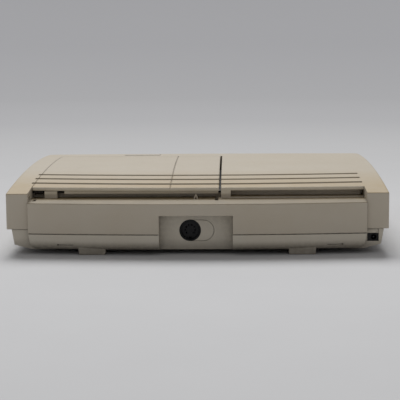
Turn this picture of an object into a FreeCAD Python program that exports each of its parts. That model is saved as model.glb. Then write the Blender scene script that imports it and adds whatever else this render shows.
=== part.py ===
import FreeCAD, Part
import math
import os

# Disc based home console, seen from its front as -Y, up as +Z, in millimetres.
# The origin lies under the middle of the case, on the surface that it stands on.

V = FreeCAD.Vector

# Overall case
WIDTH = 271.4
REAR_CROWN_Y = 116.0
FRONT_CROWN_Y = -116.0
FRONT_BOW = 8.0
FRONT_CORNER_R = 9.0
PANEL_BOW = 7.0
EAR_WIDTH = 15.7
EAR_SETBACK = 9.5
EAR_EDGE_R = 0.9
EAR_CORNER_R = 1.3
ARCH_PEAK_Z = 52.66
ARCH_PEAK_Y = -40.3
ARCH_R = 1165.0
WALL = 2.5
EAR_BOTTOM_Z = 17.9
EAR_FLANGE_T = 2.5
PARTING_Z = 15.3
PARTING_GAP = 0.65
PARTING_GROOVE = 1.1
PARTING_EDGE_R = 1.0

# Lower shell
FOOT_H = 3.5
FLOOR_T = 2.0
LOWER_REST = 0.5
LOWER_STEP = 3.6
LOWER_TOP_GAP = 0.3
LOWER_SETBACK = 1.0
LOWER_DRAFT = 1.8
BEVEL_RISE = 3.3
BEVEL_RUN = 12.4
PANEL_DRAFT = 2.2
PANEL_LOWER_R = 6.5
PANEL_CORNER_R = 6.0
PANEL_CORNER_REST = 1.0
TONGUE_H = 2.0
TONGUE_T = 1.2
TONGUE_ROOT = 6.0
TONGUE_GAP = 0.3
TONGUE_FRONT_Y = -80.0
TONGUE_REAR_Y = 75.0
FOOT_X = 74.4
FOOT_TOP_W = 20.4
FOOT_BOTTOM_W = 18.4
FOOT_LENGTH = 12.0
FOOT_REAR_Y = 111.0
FOOT_DRAFT = 0.6
FOOT_EDGE_R = 0.5
SLIT_Z = 7.4
SLIT_LEFT_X = 87.6
SLIT_RIGHT_X = 91.8
SLIT_LENGTH = 10.8
SLIT_W = 0.5
SLIT_DEPTH = 1.2
SLIT_DOT_R = 0.7
SLIT_DOT_DEPTH = 1.8

# Rear step with its ledge and the lip above it
LEDGE_IN_Z = 37.5
LEDGE_OUT_Z = 36.9
LEDGE_EDGE_R = 0.7
LIP_Y = 90.6
LIP_BOW = 3.1
LIP_EDGE_R = 1.0
LID_SKIN = 2.4
COVE_DEPTH = 7.0
COVE_BOTTOM = 1.2
COVE_SLOT_W = 2.0
COVE_SLOT_DEPTH = 5.0
CASE_BLOCK_W = 7.0
NOTCH_W = 2.3
NOTCH_OFFSET = 2.0
NOTCH_FRONT_Y = 84.6
NOTCH_REAR_Y = 99.2
END_NOTCH_W = 2.2
END_NOTCH_IN = 4.4
END_NOTCH_FRONT_Y = 92.0
END_NOTCH_REAR_Y = 101.0
END_WINDOW_FRONT_Y = 97.0
END_WINDOW_REAR_Y = 102.6
END_WINDOW_Z0 = 38.2
END_WINDOW_Z1 = 40.6

# Grooves across the top
GROOVE_COUNT = 3
GROOVE_Y = 78.9
GROOVE_PITCH = 15.8
GROOVE_BOW = 5.2
GROOVE_W = 4.4
GROOVE_DEPTH = 1.4
GROOVE_LEFT = 122.0
GROOVE_RIGHT = 119.9

# Lid, its bay and the seam
SEAM_X = -16.3
SEAM_GAP = 1.5
LID_SIDE_GAP = 0.25
LID_FRONT_Y = -72.0
LID_FRONT_GAP = 0.6
LID_LINE_REAR_X = 19.6
LID_LINE_FRONT_X = 20.2
LID_LINE_W = 0.6
LID_LINE_DEPTH = 0.5
LID_RIB_W = 1.8
LID_FRONT_T = 1.2
BAY_WALL = 2.0
TROUGH_Y = 80.0
TRAY_TOP_Z = 41.3

# Hinge of the lid
HINGE_Y = 85.6
HINGE_Z = 41.9
PIN_R = 0.8
PIN_CLEARANCE = 0.05
PRESS_GAP = 0.02
RAIL_FRONT_Y = 83.0
RAIL_REAR_Y = 87.6
RAIL_BELOW_PIN = 1.3
RAIL_END_GAP = 0.5
POST_IN = 13.75
POST_W = 9.3
POST_R = 1.9
POST_GAP = 5.2
POST_WEB_RISE = 0.4
PIN_END_WALL = 1.0
PIN_END_GAP = 0.5
RELIEF_GAP = 0.3
PIN_IN_RAIL = 8.0
SPRING_WIRE_R = 0.3
SPRING_R = 1.55
SPRING_START = -0.25
SPRING_END = 5.28
SPRING_LEG = 4.5
SPRING_PITCH = 1.15
SPRING_SIDE_GAP = 1.0
CLIP_X = 1.05
CLIP_W = 3.8
CLIP_T = 0.6
CLIP_H = 3.8
CLIP_LEN = 1.2
CLIP_Y = 91.6
CLIP_SINK = 0.8
CLIP_KNEE = 1.1
CLIP_TIP_W = 0.9
CLIP_TIP_T = 1.4
CLIP_LEG = 1.0

# Disc well
DISC_Y = 12.0
WELL_R = 63.0
WELL_DEPTH = 4.6
TRAY_T = 2.0
TRAY_LEFT = 6.2
TRAY_RIGHT = 8.0
TRAY_FRONT = 3.4
TRAY_REAR_GAP = 0.3
PICKUP_SLOT_HALF = 9.0
PICKUP_SLOT_GAP = 1.5
HUB_HOLE_R = 17.0
BOSS_R = 2.6
BOSS_BITE = 0.6
SCREW_R = 1.25
SCREW_HEAD_R = 2.5
SCREW_HEAD_T = 1.5
SCREW_SLOT_L = 3.0
SCREW_SLOT_W = 0.6
SCREW_SLOT_DEPTH = 0.7
SCREW_BITE = 4.5
SCREW_BORE = 5.0
TRAY_SCREW_FRONT_Y = -60.0
TRAY_SCREW_REAR_Y = 58.0
HUB_BORE = 1.5
HUB_BORE_END = 0.1

# Turntable, spindle motor and clamp
DISC_T = 1.2
TABLE_TOP_Z = 39.9
TABLE_R = 15.0
TABLE_T = 2.0
PAD_T = 0.3
PAD_IN_R = 9.0
CONE_R = 7.4
CONE_TIP_R = 6.2
CONE_H = 2.2
TABLE_BOSS_R = 4.0
TABLE_BOSS_GAP = 1.0
PAD_RIM = 0.5
SHAFT_R = 1.0
SHAFT_CLEARANCE = 0.05
MOTOR_R = 12.0
MOTOR_H = 9.0
MOTOR_EDGE_R = 1.2
CLAMP_R = 12.8
CLAMP_DROP = 0.3
CLAMP_RECESS_R = 8.2
CLAMP_RECESS_H = 2.0
CLAMP_NECK_H = 3.0
FLANGE_R = 18.0
FLANGE_T = 1.5
MAGNET_IN_R = 5.0
MAGNET_R = 10.0
MAGNET_T = 2.0
HOUSING_R = 22.0
HOUSING_WALL = 3.0
RETAINER_T = 1.4
RETAINER_GAP = 0.7
LINER_DROP = 4.4
LINER_T = 1.2
LINER_SIDE = 6.0
LINER_FRONT_Y = -64.0
LINER_REAR_Y = 60.0

# Deck and pickup sled
CHASSIS_TOP_Z = 32.1
CHASSIS_T = 1.2
CHASSIS_HALF = 42.0
CHASSIS_REAR_Y = 40.0
CHASSIS_CORNER_R = 4.0
CHASSIS_SLOT_RIM = 3.0
CHASSIS_SLOT_IN = 4.0
TAB_BELOW_RAIL = 1.5
TAB_HALF = 3.4
TAB_RIM = 2.0
TAB_BITE = 0.5
RAIL_X = 17.0
SLED_RAIL_R = 1.5
RAIL_DROP = 5.0
SLED_RAIL_REAR_Y = 6.2
SLED_HALF = 21.0
SLED_FRONT = 37.5
SLED_LENGTH = 24.0
SLED_TOP_GAP = 0.9
SLED_BOTTOM_Z = 19.3
SLED_CORNER_R = 2.0
SLED_CUT_HALF = 4.0
SLED_CUT_L = 5.0
SLED_CUT_H = 4.0
RAIL_END_IN = 0.2
SLED_TRAVEL = 34.0
SLED_END_GAP = 3.3
LENS_START_R = 24.0
TURRET_R = 6.5
LENS_R = 2.6
HOLDER_R = 4.6
HOLDER_H = 3.9
HOLDER_EDGE_R = 0.6
HOLDER_SINK = 0.8
TURRET_RISE = 2.0
LENS_SINK = 1.0
LENS_CROWN = 0.45
LENS_BALL = 2.2
LENS_DISC_GAP = 1.8
TOOTH_MODULE = 0.6
ADDENDUM = 0.8
DEDENDUM = 1.25
TOOTH_SHARE = 0.44
PRESSURE_ANGLE = 20.0
GEAR_TEETH = 24
PINION_TEETH = 10
GEAR_T = 3.0
GEAR_Z = 19.8
GEAR_Y = -23.0
RACK_W = 3.0
RACK_END = 3.0
POST_PIN_R = 1.0
POST_COLLAR_R = 1.7
GEAR_TOP_GAP = 0.15
GEAR_LOW_GAP = 0.2
POST_BELOW = 0.9
SLED_MOTOR_R = 8.0
SLED_MOTOR_GAP = 0.8
SLED_MOTOR_EDGE = 0.8
SLED_SHAFT_R = 0.75
SLED_SHAFT_END = 1.0
SLED_SHAFT_GAP = 0.5
SLED_SHAFT_BELOW = 0.4
SLED_SHAFT_HOLE = 2.0
GROMMET_R = 4.0
GROMMET_X = 28.0
GROMMET_FRONT = 50.0
GROMMET_REAR = 22.0
GROMMET_RIM = 0.9
GROMMET_WAIST = 0.6

# Latch and open button
HOOK_W = 10.0
HOOK_T = 2.0
HOOK_FRONT_Y = -70.4
BARB_T = 1.8
BARB_REACH = 1.5
LATCH_GAP = 0.15
LATCH_T = 2.0
LATCH_W = 18.0
LATCH_TRAVEL = 2.5
LATCH_FRONT_Y = -90.0
LATCH_REAR_GAP = 0.5
LATCH_PLATE_IN = 6.0
LATCH_SLOPE_L = 8.0
LATCH_SLOPE_RIM = 1.0
LATCH_LIP = 1.2
LATCH_LIP_T = 1.0
GUIDE_END = 2.0
HOOK_FOOT_RISE = 4.0
BUTTON_Y = -92.0
BUTTON_LENGTH = 13.0
BUTTON_W = 30.0
BUTTON_PROUD = 0.5
BUTTON_FLANGE_T = 1.5
BUTTON_FLANGE_RIM = 1.6
BUTTON_EDGE_R = 0.6
BUTTON_STEM = 4.0
SLIDE_GAP = 0.3

# Card slot
CARD_X = -58.0
CARD_W = 54.4
CARD_T = 2.6
CARD_MOUTH_H = 5.0
CARD_Z = 30.3
CARD_WALL = 2.0
CARD_REAR_Y = -38.0
CARD_FRONT_GAP = 0.2
CARD_MOUTH_L = 7.0
CARD_EAR_RIM = 0.6
CARD_BOSS_FRONT_Y = -84.0
CARD_BOSS_REAR_Y = -52.0
CONNECTOR_LENGTH = 10.0
CONNECTOR_RISE = 5.0
CONNECTOR_END = 2.0
CONNECTOR_SLOT = 7.0
CONNECTOR_SLOT_HALF = 1.2
CONNECTOR_WALL = 3.0

# Main board and what stands on it
STANDOFF = 1.4
BOARD_T = 1.6
BOARD_EDGE_GAP = 3.4
BOARD_FRONT_Y = -100.0
BOARD_REAR_Y = 101.5
BOARD_BOSS_GAP = 0.5
WING_REACH = 6.0
WING_BITE = 1.0
WING_REAR_GAP = 1.5
BOARD_SCREW_LEFT_IN = 22.0
BOARD_SCREW_RIGHT_IN = 8.0
BOARD_SCREW_FRONT_IN = 30.0
BOARD_SCREW_STEP = 10.0
BOARD_SCREW_BACK_IN = 51.5
BOARD_SCREW_MID_IN = 27.5
SHIELD_T = 0.4
SHIELD_H = 6.6
SHIELD_CORNER_R = 3.0
SHIELD_X0 = -12.0
SHIELD_SIDE_IN = 16.0
SHIELD_Y0 = -72.0
SHIELD_Y1 = 64.0
VENT_R = 1.6
VENT_PITCH = 8.0
VENT_EDGE = 14.0
VENT_ROWS = 5
VENT_COLUMNS = 6
CHIP_T = 2.6
CHIP_EDGE = 0.3
CHIP_IN = 27.0
CHIP_PITCH = 40.0
CHIP_ROW = 50.0
MEMORY_SIDE = 20.0
PROCESSOR_SIDE = 28.0
SOUND_X = -60.0
SOUND_Y = 10.0
SOUND_SIDE = 14.0
VIDEO_X = -40.0
VIDEO_Y = 60.0
VIDEO_W = 10.0
VIDEO_L = 22.0
CAP_PITCH = 13.0
CAP_EDGE_R = 0.6
CAP_SIDE_IN = 12.0
CAP_SIDE_Y = 8.0
CAP_TALL_R = 5.0
CAP_TALL_H = 14.0
CAP_TALL_COUNT = 2
CAP_REAR_SIDE_IN = 22.0
CAP_REAR_IN = 20.0
CAP_LOW_R = 3.6
CAP_LOW_H = 9.0
CAP_LOW_COUNT = 4
SINK_SIDE_IN = 16.0
SINK_REAR_IN = 11.5
SINK_LENGTH = 32.0
SINK_W = 18.0
SINK_H = 15.0
SINK_BASE_T = 2.5
FIN_T = 1.2
FIN_COUNT = 7
FIN_BITE = 0.5
REGULATOR_IN = 10.0
REGULATOR_W = 10.0
REGULATOR_H = 10.0
REGULATOR_T = 4.6
CASE_SCREW_IN = 7.0
CASE_SCREW_FRONT_Y = -88.0
CASE_SCREW_REAR_Y = 84.0
CASE_BOSS_R = 3.6
CASE_BOSS_Z = 20.0
CASE_SCREW_R = 1.5
CASE_SCREW_HEAD_R = 2.8
CASE_SCREW_HEAD_T = 1.8
CASE_SCREW_BORE = 12.0
CASE_SCREW_BITE = 11.0
CASE_SCREW_PLAY = 0.2
CASE_HEAD_PLAY = 0.3
CASE_CROSS_L = 3.6
CASE_CROSS_W = 0.8
CASE_CROSS_DEPTH = 1.0
COUNTERBORE = 4.0
PILOT = 0.8
PILOT_GAP = 0.1
FOOT_PAD_SINK = 0.6
FOOT_PAD_GAP = 0.1
FOOT_PAD_EDGE = 0.8
SOCKET_GAP = 0.1

# AV socket in its recess
RECESS_X0 = -25.3
RECESS_X1 = 26.5
RECESS_BOTTOM_Z = -1.0
RECESS_TOP_Z = 28.4
RECESS_DEPTH = 8.0
AV_X = 4.8
AV_Z = 17.1
AV_R = 7.7
AV_BORE_R = 6.7
AV_MOUTH_L = 2.8
AV_RELIEF_R = 6.9
AV_RELIEF_L = 0.4
AV_INSERT_R = 6.3
AV_BORE_DEPTH = 10.0
AV_BODY_W = 19.0
AV_BODY_L = 16.0
AV_CONTACT_CIRCLE = 3.5
AV_CONTACTS = 8
AV_CONTACT_SPREAD = 262.0
AV_CONTACT_R = 0.8
AV_CONTACT_BORE_R = 0.5
AV_CONTACT_IN = 1.0
AV_CONTACT_SINK = 0.6
AV_KEY_W = 2.0
AV_KEY_H = 1.2
AV_KEY_IN = 3.0
PILL_OFFSET = 9.5
PILL_RING = 0.5
PILL_DEPTH = 0.3

# DC inlet
DC_IN = 3.5
DC_W = 8.1
DC_Z0 = 8.7
DC_Z1 = 14.4
DC_TOP_GAP = 0.3
DC_STRIP_Z = 17.1
DC_STRIP_DEPTH = 0.6
DC_LENGTH = 13.0
DC_BODY_REACH = 6.0
DC_POCKET_REACH = 10.0
DC_POCKET_GAP = 0.1
DC_AXIS_IN = 7.0
DC_AXIS_Z = 11.45
DC_BORE_R = 1.95
DC_BORE_DEPTH = 9.0
DC_PIN_R = 0.65
DC_PIN_SINK = 0.6
DC_PIN_EDGE = 0.3
DC_SETBACK = 0.9

# Front fittings
PAD_SOCKET_X = -103.0
PAD_SOCKET_Z = 23.0
PAD_SOCKET_R = 4.7
PAD_SOCKET_BORE_R = 4.1
PAD_MOUTH_L = 3.6
PAD_RELIEF_R = 4.3
PAD_RELIEF_L = 0.4
PAD_INSERT_R = 3.8
PAD_INSERT_L = 5.0
PAD_HOLE_R = 0.35
PAD_HOLE_PITCH = 1.9
PAD_HOLE_ROW = 1.4
PAD_HOLE_DEPTH = 4.0
PAD_SOCKET_SINK = 0.4
PAD_SOCKET_W = 14.0
PAD_SOCKET_L = 14.0
POWER_X = 95.0
POWER_Z = 27.0
POWER_TRAVEL = 8.0
POWER_KNOB_W = 8.0
POWER_KNOB_H = 3.6
POWER_PROUD = 1.5
POWER_BODY_T = 6.0
POWER_BODY_H = 10.0
POWER_BODY_RIM = 4.0
POWER_STEM_W = 4.0
POWER_STEM_H = 2.4
POWER_STEM_L = 4.0
POWER_EDGE_R = 0.5
POWER_RIB_PITCH = 1.8
POWER_RIB_W = 0.8
POWER_RIB_H = 6.0
SEAT_W = 3.0
SEAT_RIM = 2.5
LED_X = 66.0
LED_PITCH = 9.0
LED_Z = 27.0
LED_R = 1.4
LED_SINK = 0.3
LED_DOME = 2.1
LED_DOME_GAP = 0.2
LED_BOARD_W = 22.0
LED_BOARD_H = 14.0
LED_BOARD_T = 1.2
LED_SEAT_RIM = 4.5
LED_SEAT_H = 6.0
FRONT_FOOT_X = 74.4
FRONT_FOOT_Y = -90.0
FRONT_FOOT_R = 8.0

# Lid switch
SWITCH_X = -7.0
SWITCH_Y = -62.0
PLUNGER_R = 1.1
PLUNGER_RISE = 1.4
PLUNGER_TRAVEL = 1.0
PLUNGER_SINK = 4.0
PLUNGER_EDGE = 0.4
SWITCH_SIDE = 8.0
SWITCH_H = 6.5
PEG_R = 1.6

# Places that follow from the sizes above
HALF = WIDTH / 2
PANEL_HALF = HALF - EAR_WIDTH
EAR_REAR_Y = REAR_CROWN_Y - EAR_SETBACK
LOWER_HALF = HALF - LOWER_STEP
LOWER_REAR_Y = EAR_REAR_Y - LOWER_SETBACK
BOARD_HALF_X = LOWER_HALF - WALL - LOWER_DRAFT - BEVEL_RUN - BOARD_EDGE_GAP
SHIELD_X1 = BOARD_HALF_X - SHIELD_SIDE_IN
CASE_SCREW_X = BOARD_HALF_X - CASE_SCREW_IN
DC_X0 = DC_IN - LOWER_HALF
DC_X1 = DC_X0 + DC_W
DC_AXIS_X = DC_AXIS_IN - LOWER_HALF
DC_TOP_Z = DC_Z1 - DC_TOP_GAP
FLOOR_Z = FOOT_H + FLOOR_T
BOARD_Z = FLOOR_Z + STANDOFF
BOARD_TOP_Z = BOARD_Z + BOARD_T
LID_X0 = SEAM_X + SEAM_GAP / 2
BAY_X0 = SEAM_X - SEAM_GAP / 2
BAY_X1 = PANEL_HALF
LID_X1 = BAY_X1 - LID_SIDE_GAP
BAY_FRONT_Y = LID_FRONT_Y - LID_FRONT_GAP
DISC_X = (LID_X0 + LID_X1) / 2
WELL_FLOOR_Z = TRAY_TOP_Z - WELL_DEPTH
WELL_UNDER_Z = WELL_FLOOR_Z - TRAY_T
DISC_Z = TABLE_TOP_Z + PAD_T
CLAMP_Z = DISC_Z + DISC_T - CLAMP_DROP
FLANGE_Z = CLAMP_Z + CLAMP_NECK_H
TROUGH_Z = LEDGE_IN_Z
HUGE = 400.0
FRONT_R = (HALF ** 2 + FRONT_BOW ** 2) / (2 * FRONT_BOW)
PANEL_R = (PANEL_HALF ** 2 + PANEL_BOW ** 2) / (2 * PANEL_BOW)
RECESS_Y = REAR_CROWN_Y - RECESS_DEPTH
AV_FACE_Y = RECESS_Y - AV_MOUTH_L - AV_RELIEF_L
POST_X0 = PANEL_HALF - POST_IN - POST_W / 2
POST_X1 = POST_X0 + POST_W
RAIL_LEFT_X = POST_X0 - POST_GAP
LENS_Y = DISC_Y - LENS_START_R
CHASSIS_FRONT_Y = DISC_Y - SLED_FRONT - SLED_TRAVEL - SLED_END_GAP - CHASSIS_T
LATCH_REAR_Y = DISC_Y - WELL_R - TRAY_T - LATCH_TRAVEL - LATCH_REAR_GAP
RACK_LENGTH = SLED_TRAVEL + 2 * RACK_END
RACK_REAR_Y = GEAR_Y + SLED_TRAVEL + RACK_END
GEAR_R = TOOTH_MODULE * GEAR_TEETH / 2
PINION_R = TOOTH_MODULE * PINION_TEETH / 2
RACK_X = DISC_X + SLED_HALF + RACK_W
PITCH_X = RACK_X + DEDENDUM * TOOTH_MODULE
GEAR_X = PITCH_X + GEAR_R
PINION_Y = GEAR_Y + GEAR_R + PINION_R
RAIL_Z = CHASSIS_TOP_Z - CHASSIS_T - RAIL_DROP
CASE_SCREWS = [(sx * CASE_SCREW_X, y) for sx in (-1, 1) for y in (CASE_SCREW_FRONT_Y, CASE_SCREW_REAR_Y)]


def box(x0, x1, y0, y1, z0, z1):
    """A block between two corners."""
    return Part.makeBox(x1 - x0, y1 - y0, z1 - z0, V(x0, y0, z0))


def rod_z(r, x, y, z0, z1):
    """An upright cylinder."""
    return Part.makeCylinder(r, z1 - z0, V(x, y, z0))


def rod_y(r, x, z, y0, y1):
    """A cylinder along Y."""
    return Part.makeCylinder(r, y1 - y0, V(x, y0, z), V(0, 1, 0))


def rod_x(r, y, z, x0, x1):
    """A cylinder along X."""
    return Part.makeCylinder(r, x1 - x0, V(x0, y, z), V(1, 0, 0))


def ring_z(r_out, r_in, x, y, z0, z1):
    """An upright ring."""
    return rod_z(r_out, x, y, z0, z1).cut(rod_z(r_in, x, y, z0 - 1, z1 + 1))


def join(shapes):
    """One shape out of touching or crossing ones."""
    return shapes[0].multiFuse(shapes[1:]).removeSplitter()


def carve(shape, tools):
    """The shape less each of the tools."""
    return shape.cut(tools)


def prism(points, direction):
    """A flat outline of points, run along a direction."""
    return Part.Face(Part.makePolygon(points + points[:1])).extrude(direction)


def arch_z(y, drop=0.0):
    """Height of the arched top at y, less a drop square to it."""
    r = ARCH_R - drop
    return ARCH_PEAK_Z - ARCH_R + math.sqrt(r ** 2 - (y - ARCH_PEAK_Y) ** 2)


def front_y(x, inset=0.0):
    """Where the bowed front stands at x."""
    r = FRONT_R - inset
    return FRONT_CROWN_Y + FRONT_R - math.sqrt(r ** 2 - x ** 2)


def panel_y(x, inset=0.0):
    """Where the bowed rear panel stands at x."""
    r = PANEL_R - inset
    return REAR_CROWN_Y - PANEL_R + math.sqrt(r ** 2 - x ** 2)


def lip_y(x):
    """Where the rear lip of the top stands at x."""
    r = (PANEL_HALF ** 2 + LIP_BOW ** 2) / (2 * LIP_BOW)
    return LIP_Y - r + math.sqrt(r ** 2 - x ** 2)


def groove_y(x, index):
    """Middle of a groove at x."""
    r = (PANEL_HALF ** 2 + GROOVE_BOW ** 2) / (2 * GROOVE_BOW)
    return GROOVE_Y - index * GROOVE_PITCH - r + math.sqrt(r ** 2 - x ** 2)


def under_arch(drop, x0, x1, y0=-HUGE / 2, y1=HUGE / 2):
    """All space under the arched top, less a drop."""
    ends = [V(x0, y0, arch_z(y0, drop)), V(x0, y1, arch_z(y1, drop))]
    middle = V(x0, (y0 + y1) / 2, arch_z((y0 + y1) / 2, drop))
    arc = Part.Arc(ends[0], middle, ends[1]).toShape()
    low = [V(x0, y1, -20), V(x0, y0, -20)]
    lines = [Part.makeLine(ends[1], low[0]), Part.makeLine(low[0], low[1]), Part.makeLine(low[1], ends[0])]
    return Part.Face(Part.Wire([arc] + lines)).extrude(V(x1 - x0, 0, 0))


def bowed_plan(half, flat_y, bow_at, z0, z1):
    """A plan with three straight sides and one bowed side, run upwards from z0 to z1."""
    a = V(-half, flat_y, z0)
    b = V(half, flat_y, z0)
    c = V(half, bow_at(half), z0)
    d = V(-half, bow_at(half), z0)
    bow = Part.Arc(c, V(0, bow_at(0), z0), d).toShape()
    wire = Part.Wire([Part.makeLine(a, b), Part.makeLine(b, c), bow, Part.makeLine(d, a)])
    return Part.Face(wire).extrude(V(0, 0, z1 - z0))


def edges_near(shape, test):
    """The edges whose middle passes a test."""
    return [e for e in shape.Edges if test(e.CenterOfMass, e)]


def upright(edge):
    """Whether an edge stands upright."""
    low, high = edge.BoundBox.ZMin, edge.BoundBox.ZMax
    return edge.BoundBox.XLength < 0.01 and edge.BoundBox.YLength < 0.01 and high - low > 1


def upper_block(inset, z0):
    """Space inside the top case and the ears, at an inset from the outer skin."""
    plan = bowed_plan(HALF - inset, EAR_REAR_Y - inset, lambda x: front_y(x, inset), z0, HUGE / 4)
    corners = edges_near(plan, lambda c, e: upright(e) and c.y < 0)
    plan = plan.makeFillet(FRONT_CORNER_R - inset, corners)
    rears = edges_near(plan, lambda c, e: upright(e) and c.y > 0)
    plan = plan.makeFillet(EAR_CORNER_R, rears)
    return plan.common(under_arch(inset, -HUGE / 2, HUGE / 2))


def panel_block(inset, z0, round_edge=0.0):
    """Space inside the rear panel, up to the ledge, at an inset."""
    plan = bowed_plan(PANEL_HALF - inset, TROUGH_Y, lambda x: panel_y(x, inset), z0, HUGE / 4)
    slope = (LEDGE_IN_Z - LEDGE_OUT_Z) / (REAR_CROWN_Y - LIP_Y)
    near = V(-HUGE / 2, 0, LEDGE_IN_Z + slope * LIP_Y - inset)
    far = V(-HUGE / 2, HUGE / 2, LEDGE_IN_Z - slope * (HUGE / 2 - LIP_Y) - inset)
    under = prism([near, far, V(-HUGE / 2, HUGE / 2, -20), V(-HUGE / 2, 0, -20)], V(HUGE, 0, 0))
    block = plan.common(under)
    if round_edge:
        top = edges_near(block, lambda c, e: c.y > EAR_REAR_Y and c.z > LEDGE_OUT_Z - 1 and not upright(e)
                         and e.BoundBox.XLength > PANEL_HALF)
        block = block.makeFillet(round_edge, top)
    return block


def step_space(inset):
    """Open space over the ledge behind the lip, grown by an inset into the case."""
    half = PANEL_HALF + inset
    a = V(-half, HUGE / 2, 0)
    b = V(half, HUGE / 2, 0)
    c = V(half, lip_y(PANEL_HALF) - inset, 0)
    d = V(-half, lip_y(PANEL_HALF) - inset, 0)
    bow = Part.Arc(c, V(0, LIP_Y - inset, 0), d).toShape()
    wire = Part.Wire([Part.makeLine(a, b), Part.makeLine(b, c), bow, Part.makeLine(d, a)])
    plan = Part.Face(wire).extrude(V(0, 0, HUGE / 4))
    floor = box(-HUGE / 2, HUGE / 2, 0, HUGE / 2, -1, LEDGE_OUT_Z - inset - 5)
    return plan.cut(floor).cut(panel_block(inset, 0))


def bay_space(inset):
    """Open space under the lid, over the tray and the hinge trough."""
    rear = LIP_Y + 2
    over_tray = box(BAY_X0 - inset, BAY_X1 + inset, BAY_FRONT_Y - inset, rear, TRAY_TOP_Z, HUGE / 4)
    low = TROUGH_Z - min(inset, WALL)
    trough = box(BAY_X0 - inset, BAY_X1 + inset, TROUGH_Y - inset, rear, low, HUGE / 4)
    return over_tray.fuse(trough)


def cove_space(inset):
    """Shallow space under the lip of the fixed side."""
    x0 = -PANEL_HALF - inset
    x1 = BAY_X0 - CASE_BLOCK_W + inset
    top = arch_z(lip_y(PANEL_HALF)) - LID_SKIN + inset
    front = LIP_Y - LIP_BOW - COVE_DEPTH - inset
    low = LEDGE_IN_Z + COVE_BOTTOM - inset
    cove = box(x0, x1, front, LIP_Y + 2, low, top)
    return cove.fuse(box(x0, COVE_SLOT_W + inset - PANEL_HALF, front - COVE_SLOT_DEPTH, LIP_Y, low, top))


def recess_space(inset):
    """The rectangular recess around the AV socket."""
    return box(RECESS_X0 - inset, RECESS_X1 + inset, RECESS_Y - inset, REAR_CROWN_Y + 5,
               RECESS_BOTTOM_Z, RECESS_TOP_Z + inset)


def groove_tools():
    """The three bowed channels across the top."""
    tools = []
    for index in range(GROOVE_COUNT):
        edges = []
        for side in (-1, 1):
            shift = side * GROOVE_W / 2
            points = [V(x, groove_y(x, index) + shift, 0) for x in (-GROOVE_RIGHT, 0, GROOVE_LEFT)]
            edges.append(points)
        near = Part.Arc(*edges[0]).toShape()
        far = Part.Arc(*edges[1]).toShape()
        ends = [Part.makeLine(edges[0][2], edges[1][2]), Part.makeLine(edges[1][0], edges[0][0])]
        wire = Part.Wire([near, ends[0], far, ends[1]])
        column = Part.Face(wire).extrude(V(0, 0, HUGE / 4))
        tools.append(column.cut(under_arch(GROOVE_DEPTH, -HUGE / 2, HUGE / 2)))
    return tools


def tray_screw_places():
    """Where the tray is screwed to the top case."""
    left = BAY_X0 - BAY_WALL - BOSS_R + BOSS_BITE
    right = BAY_X1 + BAY_WALL + BOSS_R - BOSS_BITE
    return [(x, y) for x in (left, right) for y in (TRAY_SCREW_FRONT_Y, TRAY_SCREW_REAR_Y)]


def card_boss_places():
    """Where the card guide is screwed to the top case."""
    reach = CARD_W / 2 + CARD_WALL + BOSS_R
    return [(CARD_X + side * reach, y) for side in (-1, 1) for y in (CARD_BOSS_FRONT_Y, CARD_BOSS_REAR_Y)]


def led_places():
    """Where the two lamps stand."""
    return [LED_X - LED_PITCH / 2, LED_X + LED_PITCH / 2]


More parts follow.
